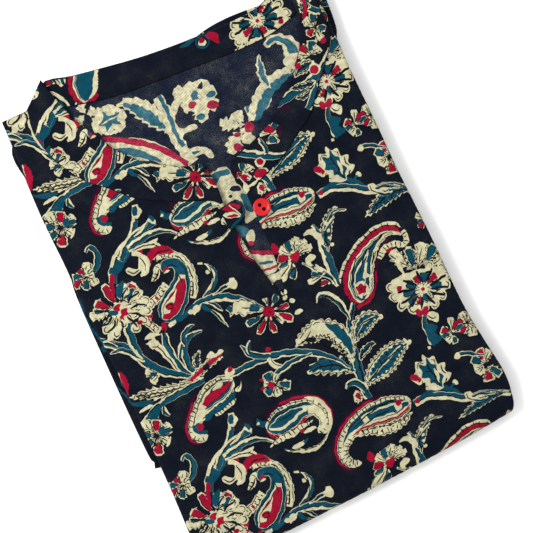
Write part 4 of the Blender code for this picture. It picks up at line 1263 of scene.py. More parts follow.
class Cloth:
    """Parts of one piece of cloth, gathered and then made into one mesh."""

    def __init__(self):
        self.points, self.faces, self.inks, self.flats, self.normals, self.slots = [], [], [], [], [], []
        self.count = 0

    def add(self, points, faces, inks, flat, normals, slot=0):
        self.points.append(points)
        self.faces.extend((np.asarray(faces) + self.count).tolist())
        self.inks.append(np.broadcast_to(inks, len(faces)))
        self.slots.append(np.full(len(faces), slot))
        self.flats.append(flat)
        self.normals.append(normals)
        self.count += len(points)

    def printed(self, outline, place, items, spacing, rows=(), slot=0, extra=None):
        points = inner_points(outline, spacing, rows)
        if extra is not None:
            points = np.vstack([points, extra[inside(extra, outline)]])
        flat, faces, inks = triangulate(outline, items, points)
        self.add(place(flat), faces, inks, flat, normals_of(place, flat), slot)

    def strip(self, rows, ink=NAVY, slot=0):
        """A plain ribbon over rows of points; its normals follow it."""
        rows = np.asarray(rows, float)
        count, across = rows.shape[:2]
        normal = np.cross(np.gradient(rows, axis=1), np.gradient(rows, axis=0))
        normal /= np.maximum(np.linalg.norm(normal, axis=2, keepdims=True), 1e-9)
        index = np.arange(count * across).reshape(count, across)
        quads = np.stack([index[:-1, :-1], index[:-1, 1:], index[1:, 1:], index[1:, :-1]], 2).reshape(-1, 4)
        tris = np.vstack([quads[:, [0, 1, 2]], quads[:, [0, 2, 3]]])
        flat = rows[:, :, :2].reshape(-1, 2)
        self.add(rows.reshape(-1, 3), tris, ink, flat, normal.reshape(-1, 3), slot)

    def make(self, name, materials, stands_for, scale):
        mesh = bpy.data.meshes.new(name)
        mesh.from_pydata(to_frame(np.vstack(self.points)).tolist(), [], self.faces)
        mesh.attributes.new("ink", "FLOAT", "FACE").data.foreach_set(
            "value", (np.concatenate(self.inks) + 0.5).astype(np.float32)
        )
        corner = np.empty(len(mesh.loops), np.int32)
        mesh.loops.foreach_get("vertex_index", corner)
        flat = np.vstack(self.flats)
        mesh.uv_layers.new(name="thread").data.foreach_set("uv", flat[corner].astype(np.float32).ravel())
        low = flat.min(0)
        held = (flat - low) / (flat.max(0) - low).max()
        mesh.uv_layers.new(name="OFBake").data.foreach_set("uv", held[corner].astype(np.float32).ravel())
        mesh.polygons.foreach_set("use_smooth", np.ones(len(mesh.polygons), bool))
        for made in materials:
            mesh.materials.append(made)
        mesh.polygons.foreach_set("material_index", np.concatenate(self.slots).astype(np.int32))
        mesh.update()
        mesh.normals_split_custom_set_from_vertices(np.vstack(self.normals).tolist())
        made = bpy.data.objects.new(name, mesh)
        bpy.context.scene.collection.objects.link(made)
        if stands_for:
            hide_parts(stands_for)
        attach(made, "root")
        return made


def to_frame(points):
    return (np.asarray(points, float) + ORIGIN) * MM


# ------------------------------------------------------------------ shape of the lying cloth

# Soft creases pressed and rubbed into the front.   height, half width, points
FRONT_CREASES = (
    (-0.55, 3.2, ((9.6, -20.0), (12.0, -34.0), (17.0, -52.0), (24.0, -66.0))),
    (0.40, 4.5, ((3.0, -22.0), (2.0, -42.0), (6.0, -62.0))),
    (0.38, 5.0, ((16.0, -18.0), (22.0, -34.0), (33.0, -50.0))),
    (-0.45, 4.0, ((-119.0, -132.0), (-70.0, -136.0), (-20.0, -133.0))),
    (0.40, 6.0, ((-100.0, -144.0), (-40.0, -146.0), (30.0, -142.0))),
    (-0.50, 4.5, ((40.0, -130.0), (80.0, -127.0), (122.0, -118.0))),
    (0.35, 6.0, ((60.0, -141.0), (95.0, -137.0), (124.0, -130.0))),
    (-0.30, 5.0, ((-112.0, -40.0), (-90.0, -60.0), (-74.0, -92.0))),
    (0.30, 6.0, ((-100.0, 60.0), (-84.0, 40.0), (-78.0, 10.0))),
    (-0.32, 5.0, ((70.0, 60.0), (84.0, 30.0), (86.0, -6.0))),
    (0.30, 7.0, ((100.0, 70.0), (98.0, 30.0), (104.0, -20.0))),
    (-0.28, 6.0, ((-50.0, -20.0), (-30.0, -60.0), (-34.0, -100.0))),
    (0.30, 5.0, ((-30.0, 60.0), (-38.0, 30.0), (-34.0, 0.0))),
    (-0.35, 3.2, ((-58.0, 80.0), (-50.0, 66.0), (-52.0, 50.0))),
    (-0.35, 3.2, ((-36.0, 68.0), (-34.0, 56.0), (-40.0, 42.0))),
    (-0.35, 3.2, ((80.0, 82.0), (76.0, 66.0), (80.0, 50.0))),
    (-0.35, 3.0, ((56.0, 66.0), (58.0, 52.0), (54.0, 40.0))),
    (-0.30, 3.5, ((-104.0, 150.0), (-108.0, 132.0), (-104.0, 112.0))),
)
# Crumples of the back inside the neck.   height, half width, points
BACK_CREASES = (
    (0.55, 4.0, ((-60.0, 160.0), (-30.0, 132.0), (-12.0, 104.0))),
    (-0.50, 4.5, ((-72.0, 148.0), (-42.0, 120.0), (-20.0, 92.0))),
    (-0.45, 5.0, ((-20.0, 146.0), (0.0, 126.0), (4.0, 96.0))),
    (0.45, 5.0, ((60.0, 142.0), (40.0, 124.0), (22.0, 94.0))),
    (-0.45, 5.0, ((86.0, 140.0), (62.0, 118.0), (48.0, 96.0))),
    (0.40, 3.0, ((4.0, 60.0), (6.0, 30.0), (8.0, 0.0))),
    (-0.40, 3.0, ((11.0, 56.0), (10.0, 26.0), (10.0, -6.0))),
)


def creases(points, rows):
    """What soft troughs (below zero) and ridges add to a height; each fades out at its ends."""
    total = np.zeros(len(points))
    for height, half, path in rows:
        path = through(path, 4.0)
        gap, foot = nearest(points, path, 3 * half)
        ends = np.minimum(np.linalg.norm(foot - path[0], axis=1), np.linalg.norm(foot - path[-1], axis=1))
        kept = 0.25 + 0.75 * smooth(ends / (2.2 * half))
        total += (gap < 3 * half) * height * np.exp(-((gap / half) ** 2)) * kept
    return total


def front_height(points):
    """Outer surface of the upper leaf away from its side folds."""
    x, y = points[:, 0], points[:, 1]
    foot = table(FOLD_LINE, x) + FOLD_RADIUS
    slope = smooth((SLOPE_FROM - y) / (SLOPE_FROM - foot))
    ripple = RIPPLE * (np.sin(x / 31.0 + y / 47.0) + 0.6 * np.sin(y / 29.0 - x / 53.0))
    fine = 0.05 * (np.sin(x / 5.3 + 1.7 * np.sin(y / 13.0)) + np.sin(y / 6.1 + 1.3 * np.sin(x / 11.0)))
    calm = smooth((176.0 - y) / 30.0) * smooth((y - foot) / 22.0)
    relief = ripple + fine + creases(points, FRONT_CREASES)
    return FRONT_TOP - slope * (FRONT_TOP - 2 * FOLD_RADIUS) + relief * calm


def back_height(points):
    """The wrong side of the back, as it lies sunk inside the neck."""
    x, y = points[:, 0], points[:, 1]
    sink = smooth((SINK_FROM - np.abs(x)) / (SINK_FROM - SINK_TO))
    neck = np.exp(-(((x - 10.0) / 44.0) ** 2) - ((y - 116.0) / 24.0) ** 2)
    return BACK_TOP - BACK_SINK * sink - NECK_DIP * neck + creases(points, BACK_CREASES) * sink


def turned_down(gap, radius):
    """How far a rounded edge has dropped at this distance inside it."""
    return radius * (1 - np.sqrt(np.maximum(1 - np.clip(1 - gap / radius, 0, 1) ** 2, 0)))


# The side folds aren't quite even.   y, left, right, in mm inwards
FOLD_WANDER = (
    (180.0, 0.0, 0.3), (150.0, 0.4, 0.0), (96.0, -0.3, 0.5), (60.0, 0.5, 0.2), (20.0, -0.2, 0.6),
    (-30.0, 0.6, -0.2), (-80.0, 0.2, 0.4), (-130.0, 0.5, 0.0), (-180.0, 0.0, 0.2),
)  # fmt: skip
# Where the bottom fold starts to turn halfway across
MIDDLE_FOOT = -165.0
# Along the cloth, where the front's piece ends underneath and the underside's begins, in mm
UNDER_START = -197.0


def side_rows():
    """Both side edges along the cloth's own length, over the top, round the fold and along the underside."""
    turn = math.pi * FOLD_RADIUS
    rows = []
    for y, left, right in through(sorted(SIDES), 4.0):
        if y > MIDDLE_FOOT:
            rows.append((y, left + table(FOLD_WANDER, y, 1), right - table(FOLD_WANDER, y, 2)))
    for y, left, right in through(sorted(UNDER_SIDES), 4.0):
        along = 2 * MIDDLE_FOOT - turn - y
        if along < MIDDLE_FOOT - turn:
            rows.append((along, left, right))
    return np.array(sorted(rows))


SIDE_ROWS = side_rows()


def place_front(flat):
    """Where the front's cloth lies: flat x and y become a point over the top, round a fold or underneath."""
    u, v = flat[:, 0], flat[:, 1]
    left = np.interp(v, SIDE_ROWS[:, 0], SIDE_ROWS[:, 1]) + SIDE_RADIUS
    right = np.interp(v, SIDE_ROWS[:, 0], SIDE_ROWS[:, 2]) - SIDE_RADIUS
    past = np.maximum(np.maximum(left - u, u - right), 0)
    turn = np.minimum(past / SIDE_RADIUS, SIDE_TURN)
    rest = np.maximum(past - SIDE_RADIUS * SIDE_TURN, 0)
    out = SIDE_RADIUS * np.sin(turn) + rest * np.cos(turn)
    depth = SIDE_RADIUS * (1 - np.cos(turn)) + rest * np.sin(turn)
    x = np.where(u < left, left - out, np.where(u > right, right + out, u))
    foot = table(FOLD_LINE, x) + FOLD_RADIUS
    down = np.maximum(foot - v, 0)
    bend = np.minimum(down / FOLD_RADIUS, math.pi)
    reach = FOLD_RADIUS - depth
    on_top = down <= 0
    shoulder = table(SHOULDER_LINE, x)
    z_top = front_height(np.stack([x, v], 1)) - depth
    z_top -= turned_down(np.maximum(shoulder - v, 0), SHOULDER_RADIUS)
    y = np.where(on_top, v, foot - reach * np.sin(bend) + np.maximum(down - math.pi * FOLD_RADIUS, 0))
    z = np.where(on_top, z_top, FOLD_RADIUS + reach * np.cos(bend))
    return np.stack([x, y, z], 1)


# ------------------------------------------------------------------ the prints on each piece


def front_print(drawn, low, high):
    """The design on the front. Where the cloth rolls down to the fold, more of it shows in less depth."""
    found = []
    for ink, points in tiled(drawn, low, high + (0, 10)):
        x, y = points[:, 0], points[:, 1]
        lift = 8.0 * smooth((-140.0 - y) / 30.0) * smooth((x + 10.0) / 100.0)
        found.append((ink, np.stack([x, y + lift], 1)))
    return found


def print_right_band():
    """The right neck band shows another part of the design, drawn on its own."""
    DRAWN.clear()
    stem([(18, 82), (26, 77), (36, 71), (46, 66), (58, 64)], 1.8, light=1, cream_w=2.0)
    stem([(40, 71), (41, 77), (39, 84)], 0.8, light=1, cream_w=1.6)
    petals(
        48, 83,
        (
            (-100, 0, 8, 4.0, TEAL, "lobed"), (150, 1, 9, 3.0, None, "plain"),
            (100, 1, 7, 3.4, RED, "lobed"), (40, 0, 9, 2.6, TEAL, "plain"), (-20, 1, 7, 2.6, None, "plain"),
        ),
    )
    disc(RED, 48.5, 86, 2.6)
    patch(MAROON, [(58, 99), (66, 98), (68, 94), (61, 95)])
    patch(MAROON, [(54, 86), (57, 84), (55, 79), (52, 80)])
    petals(
        19, 66,
        (
            (170, 0, 6, 2.6, RED, "plain"), (70, 0, 8, 2.6, TEAL, "plain"), (20, 0, 9, 3.0, None, "spiky"),
            (-60, 0, 8, 2.0, None, "plain"),
        ),
    )
    disc(RED, 18.5, 63, 2.4)
    disc(CREAM, 33, 68, 3.6)
    disc(RED, 33, 68.4, 2.5)
    disc(CREAM, 30.5, 60.5, 4.2, 1.3)
    disc(RED, 30, 61, 3.3, 1.4)
    patch(CREAM, [(15, 56), (22, 57), (28, 59), (22, 55)])
    patch(CREAM, [(13, 53), (16, 60), (15, 66), (18, 58), (18, 53)])
    stem(
        [(57, 100), (66, 100), (76, 102), (88, 104), (102, 110), (112, 118)], 2.4, light=1, cream_w=1.6,
        end="even",
    )
    leaf([(73, 106), (82, 104), (93, 103)], 2.6, teeth=(3.2, 0.8, "round"), inner=1.2, veins=2)
    leaf([(74, 98), (80, 97), (88, 99)], 2.2, teeth=(3.2, 0.8, "round"), inner=1.2, veins=0)
    stem([(79, 88), (86, 94), (92, 102)], 2.2, light=-1, cream_w=1.8)
    leaf([(80, 112), (88, 116), (98, 116)], 4.4, teeth=(3.4, 1.2, "round"), inner=2.2, veins=3)
    disc(CREAM, 95, 111.5, 4.2)
    disc(RED, 94.5, 111, 3.0)
    petals(
        96, 121,
        (
            (150, 1, 10, 3.2, None, "spiky"), (110, 1, 11, 3.2, RED, "plain"),
            (60, 1, 12, 3.4, TEAL, "lobed"), (20, 1, 10, 3.0, None, "spiky"),
        ),
    )
    disc(RED, 85, 118, 2.4)
    petals(
        108, 138,
        (
            (120, 1, 10, 3.0, None, "lobed"), (75, 1, 11, 3.0, TEAL, "lobed"),
            (-150, 1, 9, 3.0, RED, "lobed"), (-90, 1, 11, 3.0, None, "spiky"),
            (-40, 1, 8, 2.6, TEAL, "lobed"),
        ),
    )
    disc(RED, 109, 127, 2.2)
    stem([(116, 146), (110, 152), (107, 160), (104, 172)], 1.6, light=1, cream_w=1.8)
    leaf([(103, 150), (108, 156), (112, 164)], 4.0, inner=1.6, veins=2)
    rim(Spine([(103, 146), (107, 150), (109, 156), (108, 164)]), RED, 1.6, "even", 1, -0.8, 1.8)
    return list(DRAWN)


def print_loop_tab():
    """The scrap of the design on the button loop."""
    DRAWN.clear()
    patch(RED, [(-5, 49.5), (3, 50.2), (7.5, 46), (4, 44), (-2, 46.4)])
    patch(CREAM, [(-6, 45), (-1, 45.6), (3, 43), (5, 39.5), (1, 40), (-4, 42)])
    patch(RED, [(-4, 43.4), (1, 43), (4, 40.4), (0, 40.6)])
    line([(0.5, 50), (3, 46), (5.8, 40.4)], 0.9, CREAM)
    line([(1.2, 49.6), (3.8, 45.6), (6.4, 40.4)], 0.5)
    rim(Spine([(7, 51.2), (10.4, 47.6), (9.6, 40.5), (5, 37), (-6, 33)]), TEAL, 1.0, "even", -1, -1.2, 1.4)
    return list(DRAWN)


def print_back_middle():
    """What lies at the middle of the back neck band, drawn on its own."""
    DRAWN.clear()
    disc(TEAL, 32, 162, 5.2)
    disc(NAVY, 32, 162, 4.0)
    disc(CREAM, 31.5, 161.5, 2.8)
    disc(RED, 32, 163, 2.2)
    patch(RED, [(36, 165), (40, 166), (44, 162), (42, 156), (39, 158), (38, 161)])
    patch(TEAL, [(16, 165), (24, 167), (28, 165.5), (22, 163.5)])
    return list(DRAWN)


def print_slit_back():
    """What shows of the back's own design through the slit."""
    patch(
        CREAM,
        [
            (-3, 76), (2, 75.5), (6, 77), (10, 75), (12.5, 70), (12, 62), (15, 56), (15, 46), (17, 36),
            (6, 34), (10, 44), (7, 52), (-4, 51), (-4, 62), (-1, 68),
        ],
    )
    patch(TEAL, [(-3, 73.5), (4, 75), (11, 73), (10, 69.5), (4, 71), (1, 68), (-3, 69)])
    patch(TEAL, [(11, 53), (15, 52), (15, 40), (10.5, 41)])
    patch(NAVY, [(6, 60), (9, 61.5), (12, 60), (13, 56), (8.5, 57)])
    disc(NAVY, 4, 55.5, 1.3)
    patch(TEAL, [(-3, 35), (2, 34), (6, 29), (5, 25), (-1, 27)])
    patch(CREAM, [(3, 26), (8, 28), (9, 24), (6, 20), (2, 21)])
    disc(RED, 3.6, 19.5, 2.1)
    form(Spine([(-2, 17), (4, 12), (12, 8.5), (20, 4)]), RED, 1.6, "even")
    form(Spine([(-2, 11), (5, 6), (12, 3), (20, 0)]), CREAM, 3.4, "even")
    patch(CREAM, [(1, 9), (1.5, -3), (5, -6), (13, -4), (15, 2), (12, 6)])
    form(Spine([(0, -1.5), (8, -2), (16, -2.5)]), RED, 0.9, "even")
    form(Spine([(0, -10), (8, -9), (16, -10)]), CREAM, 2.8, "even")
    form(Spine([(3, 4.5), (12, 1)]), TEAL, 1.0, "even")


def print_inner_back():
    """Cloth seen from its wrong side inside the neck, with a design of its own scale."""
    DRAWN.clear()
    stalk = [(-13, 140), (-12, 128), (-13, 114), (-12, 100), (-9, 88)]
    leaf(
        [(-13, 112), (-19, 124), (-26, 136), (-33, 144), (-42, 147)], 7.0, teeth=(6, 2.0, "teeth"),
        inner=3.4, veins=0, mid=False, sides=(0.4, 1.4),
    )
    form(Spine(stalk), CREAM, 4.2, "even", wave=(7, 1.0, "round"))
    form(Spine(stalk), TEAL, 1.9, "even", left=-1.2, right=1.6, t1=0.75)
    patch(CREAM, [(-10, 116), (-6, 112), (0, 113), (4, 110), (1, 108), (-6, 109), (-10, 105)])
    patch(CREAM, [(-9, 128), (-3, 133), (3, 132), (-2, 128), (-9, 122)])
    petals(
        -50, 139,
        (
            (0, 1, 13, 5.0, None, "spiky"), (62, 1, 12, 5.0, None, "spiky"),
            (120, 1, 13, 5.0, None, "spiky"), (180, 1, 14, 5.2, None, "spiky"),
            (240, 1, 11, 4.6, None, "spiky"), (300, 1, 12, 4.6, None, "spiky"),
        ),
    )
    patch(
        TEAL,
        [
            (-59, 139), (-54, 142), (-52, 147), (-49, 142), (-42, 142), (-45, 138), (-44, 133), (-50, 136),
            (-55, 132), (-55, 137),
        ],
    )
    line([(-57, 139), (-50, 139.5), (-43, 140)], 0.6, CREAM)
    petals(
        -64, 150,
        ((0, 1, 9, 3.4, None, "spiky"), (90, 1, 9, 3.4, None, "spiky"), (200, 1, 9, 3.4, None, "spiky")),
    )
    curl = [(-62, 127), (-54, 123), (-44, 117), (-34, 110), (-26, 102), (-20, 94), (-15, 86)]
    form(Spine(curl), CREAM, 6.0, "lens", right=-2.0)
    form(Spine(curl), RED, 2.2, "even", left=0.0, shift=(1.6, 2.2))
    form(Spine([(-60, 121), (-48, 114), (-38, 106), (-28, 97)]), TEAL, 3.0, "lens")
    form(Spine([(-56, 116), (-46, 108), (-36, 101)]), CREAM, 1.4, "lens")
    petals(
        12, 128,
        (
            (90, 2, 12, 5.0, None, "spiky"), (140, 2, 18, 5.0, None, "spiky"),
            (45, 2, 14, 5.0, None, "lobed"), (0, 2, 15, 5.4, None, "spiky"),
            (-45, 2, 16, 5.0, None, "spiky"), (-95, 2, 18, 4.4, None, "spiky"),
            (-140, 2, 14, 4.2, None, "lobed"), (180, 1, 11, 4.4, None, "lobed"),
        ),
    )
    petals(12, 128, tuple((turn, 1, 13, 4.6, None, "spiky") for turn in range(15, 375, 45)))
    patch(NAVY, [(15, 134), (20, 137), (18, 132)])
    patch(NAVY, [(3, 122), (0, 118), (6, 119)])
    disc(RED, 7, 125, 2.6, 1.2)
    disc(RED, 20, 119, 2.8, 1.5, -30)
    disc(TEAL, 11, 130, 2.6, 1.4, 60)
    disc(TEAL, 22, 126, 2.2, 1.5)
    disc(TEAL, 9, 115, 2.4, 1.3)
    patch(CREAM, [(-12, 92), (-8, 97), (0, 96), (5, 91), (6, 86), (3, 85), (0, 90), (-5, 91)])
    patch(TEAL, [(-8, 94.5), (-1, 93.6), (-6, 92.4)])
    petals(
        36, 96,
        (
            (150, 2, 20, 4.0, None, "spiky"), (110, 3, 13, 4.4, None, "lobed"),
            (60, 6, 14, 3.0, TEAL, "plain"), (215, 2, 24, 5.0, None, "spiky"),
            (-115, 2, 14, 4.4, None, "lobed"), (35, 3, 28, 5.4, None, "lobed"),
        ),
    )
    disc(RED, 36.5, 94, 4.0, 0.9)
    disc(RED, 23.5, 84.5, 3.0, 1.1)
    disc(RED, 27, 92.5, 1.7, 1.5)
    form(
        Spine([(42, 97), (52, 104), (62, 112), (76, 117), (90, 118)]), TEAL, 3.4, "even",
        wave=(8, 1.0, "round"),
    )
    form(
        Spine([(40, 98), (47, 108), (56, 115), (68, 119), (80, 119)]), CREAM, 2.6, "even",
        wave=(6, 0.8, "round"),
    )
    leaf([(62, 112), (60, 122), (62, 132), (64, 138)], 3.0, teeth=(5, 1.2, "teeth"), inner=1.0, veins=0)
    leaf([(78, 116), (84, 122), (92, 124)], 3.0, teeth=(4, 1.2, "round"), inner=1.2, veins=0)
    curl = [(78, 120), (86, 126), (86, 136), (78, 143), (70, 140)]
    form(Spine(curl), CREAM, 7.0, "hook", wave=(6, 1.0, "round"))
    form(Spine(curl), TEAL, 3.6, "hook", t0=0.3, t1=0.95)
    form(Spine([(82, 118), (90, 124), (94, 132)]), RED, 2.0, "lens")
    print_slit_back()
    return [item for item in DRAWN if item[0] != LINE]


# ------------------------------------------------------------------ the pieces


def slit_path():
    """Down the slit's left edge, round its end and up its right edge."""
    left = [(x, y) for y, x, _ in SLIT]
    right = [(x, y) for y, _, x in SLIT]
    return through([*left, SLIT_END, *right[::-1]], 1.0)


SLIT_PATH = slit_path()


def place_front_edged(flat):
    """place_front(), with the slit's turned edges rounded off."""
    points = place_front(flat)
    near = (np.abs(flat[:, 0] - 7) < 16) & (flat[:, 1] > -26) & (flat[:, 1] < 58)
    if near.any():
        gap, _ = nearest(flat[near], SLIT_PATH, 8.0)
        points[near, 2] -= turned_down(gap, 1.0) - 0.3 * np.exp(-(((gap - 1.5) / 1.2) ** 2))
    return points


def side_paths(every, low, high):
    """The cloth's cut edges, past its side folds: down the left one and up the right one."""
    reach = SIDE_RADIUS * SIDE_TURN + SIDE_FLAP - SIDE_RADIUS
    rows = [row for row in SIDE_ROWS[::every] if low < row[0] < high]
    return [(row[1] - reach, row[0]) for row in rows[::-1]], [(row[2] + reach, row[0]) for row in rows]


def side_fold_points(count, along):
    """Close rows of points where the cloth turns round its side folds; along(share) gives their places."""
    found = []
    arc = SIDE_RADIUS * SIDE_TURN
    for column, way in ((1, -1), (2, 1)):
        for share in np.linspace(-0.12, 1.0, count):
            y = along(share)
            edge = np.interp(y, SIDE_ROWS[:, 0], SIDE_ROWS[:, column])
            found.append(np.stack([edge + way * (share * arc - SIDE_RADIUS), y], 1))
    return found


def front_outline():
    left, right = side_paths(4, UNDER_START - 1, 168)
    left.append((left[-1][0], UNDER_START - 0.3))
    right.insert(0, (right[0][0], UNDER_START - 0.3))
    right_neck = [(0.8 * a + 0.2 * c, 0.8 * b + 0.2 * d) for a, b, c, d in through(BAND_RIGHT, 2.0)]
    left_neck = [(0.8 * a + 0.2 * c, 0.8 * b + 0.2 * d) for a, b, c, d in through(BAND_LEFT, 2.0)]
    right_shoulder = ((128.0, 168.0), (116.0, 169.0))
    left_shoulder = ((-100.0, 169.5), (-130.0, 170.0))
    neck = [*right_neck, *SLIT_PATH[::-1][1:-1], *left_neck[::-1]]
    return np.array([*left, *right, *right_shoulder, *neck, *left_shoulder])


def fold_points():
    """Close rows of points where the front's cloth turns round its side and bottom folds."""
    found = side_fold_points(12, lambda share: np.arange(-198, 168, 4.5) + 2.2 * (share * 11 % 2 > 1))
    for bend in np.linspace(-0.08, 1.04, 15):
        x = np.arange(-118, 122, 5.0) + 2.5 * (round(bend * 12.5) % 2)
        foot = table(FOLD_LINE, x) + FOLD_RADIUS
        found.append(np.stack([x, foot - bend * math.pi * FOLD_RADIUS], 1))
    return np.vstack(found)


def make_front(drawn, material):
    cloth = Cloth()
    outline = front_outline()
    items = front_print(drawn, outline.min(0), outline.max(0))
    cloth.printed(outline, place_front_edged, items, 3.6, (0.15, 0.45, 0.9), extra=fold_points())
    top = place_front_edged(SLIT_PATH)
    cloth.strip([(point, point - (0, 0, 0.5), point - (0, 0, 1.2)) for point in top], TEAL)
    made = cloth.make("printed_front", [material], "front_panel", 1)
    return made


def make_underside(drawn, material):
    """The same cloth carried on along the underside to its own fold near the shoulders."""
    end = 2 * MIDDLE_FOOT - math.pi * FOLD_RADIUS - (UNDER_FOLD_Y - UNDER_FOLD_RADIUS)
    left, right = side_paths(8, end, UNDER_START - 1)
    last = end - math.pi * UNDER_FOLD_RADIUS - UNDER_FLAP
    start = [(left[0][0], UNDER_START), *left, (left[-1][0], last)]
    outline = np.array([*start, (right[0][0], last), *right, (right[-1][0], UNDER_START)])
    items = [item for item in front_print(drawn, outline.min(0), outline.max(0)) if item[0] != LINE]

    def place(flat):
        fold = np.clip((end - flat[:, 1]) / UNDER_FOLD_RADIUS, 0, math.pi)
        rest = np.maximum(end - flat[:, 1] - math.pi * UNDER_FOLD_RADIUS, 0)
        points = place_front(np.stack([flat[:, 0], np.maximum(flat[:, 1], end)], 1))
        reach = UNDER_FOLD_RADIUS - points[:, 2]
        points[:, 1] += reach * np.sin(fold) - rest
        points[:, 2] = UNDER_FOLD_RADIUS - reach * np.cos(fold)
        return points

    extra = side_fold_points(9, lambda share: np.arange(last, UNDER_START, 6.0))
    x = np.arange(-124, 124, 6.0)
    for bend in np.linspace(0, 1, 9):
        extra.append(np.stack([x, np.full(len(x), end - bend * math.pi * UNDER_FOLD_RADIUS)], 1))
    cloth = Cloth()
    cloth.printed(outline, place, items, 6.0, extra=np.vstack(extra))
    made = cloth.make("printed_underside", [material], "front_panel", 1)
    return made


def make_band(name, rows, height, items, material, seam_radius=1.2):
    """A neck band on the cloth under it: rounded along its free edge, sewn down along its seam, with painted
    shade along the seam.
    """
    rows = through(rows, 2.0)
    free, seam = rows[:, :2], rows[:, 2:]
    outline = np.vstack([free, seam[::-1]])

    def place(points):
        gap_free, _ = nearest(points, free, 8.0)
        gap_seam, _ = nearest(points, seam, 8.0)
        z = height(points) + GAP + BAND_WALL - turned_down(gap_free, 1.2) - turned_down(gap_seam, seam_radius)
        z += 0.16 * np.exp(-((gap_seam - 2.6) / 1.2) ** 2) * np.sin(points[:, 0] / 1.9 + points[:, 1] / 2.6)
        return np.column_stack([points, z])

    # A strip of the dark line ink, 0.55 mm wide, along the seam: painted shade in the seam's ditch, and
    # partly the seam's own dark line.
    width = np.linalg.norm(free - seam, axis=1, keepdims=True)
    seam_shade_edge = seam + 0.55 * (free - seam) / width
    items = [*items, (LINE, np.vstack([seam, seam_shade_edge[::-1]]))]
    cloth = Cloth()
    cloth.printed(outline, place, items, 3.2, (0.12, 0.4, 0.8, 1.3, 2.2, 3.2))
    edge = place(free)
    cloth.strip([(point, point - (0, 0, 0.7), point - (0, 0, 1.5)) for point in edge], NAVY)
    made = cloth.make(name.replace("neck_band", "printed_band"), [material], name, 1)
    return made


def make_back(material):
    """The back's wrong side, as it shows inside the neck."""
    columns = np.arange(-BACK_SIDE, BACK_SIDE + 1, 6.0)
    top = [(x, float(table(BACK_EDGE, x))) for x in columns[::-1]]
    outline = np.array([(-BACK_SIDE, BACK_END), (BACK_SIDE, BACK_END), *top])
    items = tiled(print_inner_back(), np.array((-104.0, -30.0)), np.array((112.0, 190.0)), repeat=False)

    def place(points):
        return np.column_stack([points, back_height(points)])

    cloth = Cloth()
    cloth.printed(outline, place, items, 3.6, (0.6,))
    made = cloth.make("back_inside", [material], "back_panel", 1)
    return made


def pressed(cloth, outline, low, high, items, spacing=5.0):
    """A folded piece pressed flat: a printed upper face and a lower one, meeting in a rounded fold."""
    ring = through(outline, 3.0, True) if len(outline) < 30 else np.asarray(outline, float)
    half = (high - low) / 2
    closed = np.vstack([ring, ring[:1]])

    def upper(points):
        return np.column_stack([points, high - turned_down(nearest(points, closed, 2 * half)[0], half)])

    def lower(points):
        return np.column_stack([points, low + turned_down(nearest(points, closed, 2 * half)[0], half)])

    rows = tuple(half * share for share in (0.04, 0.15, 0.35, 0.65, 1.0))
    cloth.printed(ring, upper, items, spacing, rows)
    plain = Cloth()
    plain.printed(ring, lower, [], spacing * 1.5, rows)
    faces = [face[::-1] for face in plain.faces]
    down = plain.normals[0] * (-1, -1, 0) - np.abs(plain.normals[0]) * (0, 0, 1)
    cloth.add(plain.points[0], faces, NAVY, plain.flats[0], down)


def near_edge(items, outline, reach):
    """Only the print that comes near the edge: the rest is covered."""
    closed = np.vstack([outline, outline[:1]])
    return [item for item in items if nearest(item[1], closed, reach)[0].min() < reach]


def rounded(corners, lengths, count):
    """A ring of points round some corners, each rounded off from the given length before it to that after."""
    ring = []
    t = np.linspace(0, 1, count)[:, None]
    for k, corner in enumerate(corners):
        away = [corners[k - 1] - corner, corners[(k + 1) % len(corners)] - corner]
        ends = [corner + a * lengths(np.linalg.norm(a)) for a in away]
        ring.append((1 - t) ** 2 * ends[0] + 2 * t * (1 - t) * corner + t**2 * ends[1])
    return np.vstack(ring)


def make_sleeve(name, outline, drawn, shift, material):
    ring = through(outline, 3.0, True)
    items = near_edge(tiled(drawn, ring.min(0), ring.max(0), ((0, -1), (1, 0)), shift), ring, 7.0)
    cloth = Cloth()
    pressed(cloth, outline, SLEEVE_LOW, SLEEVE_HIGH, items, 7.0)
    cloth.make("folded_" + name, [material], name, 1)


# Its layers, in mm.   underside, top, inset from the folds
PARCEL = ((1.5, 3.2, 0.0), (3.4, 5.1, 1.2), (5.2, 6.6, -0.4))


def make_hidden(drawn, material):
    """The lower layers: side flaps, the lower back and the hem third, folded into a flat parcel."""
    low, high = box_mm("folded_layers")
    low, high = low - ORIGIN, high - ORIGIN
    shown = [item for item in drawn if item[0] in (CREAM, TEAL, RED)]
    cloth = Cloth()
    for base, top, inset in PARCEL:
        x0, x1 = low[0] + inset + 1.6, high[0] - inset - 1.6
        y1 = min(high[1] - inset + 2.0, 168.2)
        foot = [float(table(FOLD_LINE, x)) + 12.6 + inset for x in (x0, x1)]
        corners = np.array([(x0, foot[0]), (x1, foot[1]), (x1, y1), (x0, y1)])
        ring = rounded(corners, lambda length: 7.0 / length, 6)
        items = tiled(shown, ring.min(0), ring.max(0), None, (20.0 * base, 30.0))
        pressed(cloth, ring, base, top, near_edge(items, ring, 2.5), 9.0)
    cloth.make("folded_parcel", [material], "folded_layers", 1)


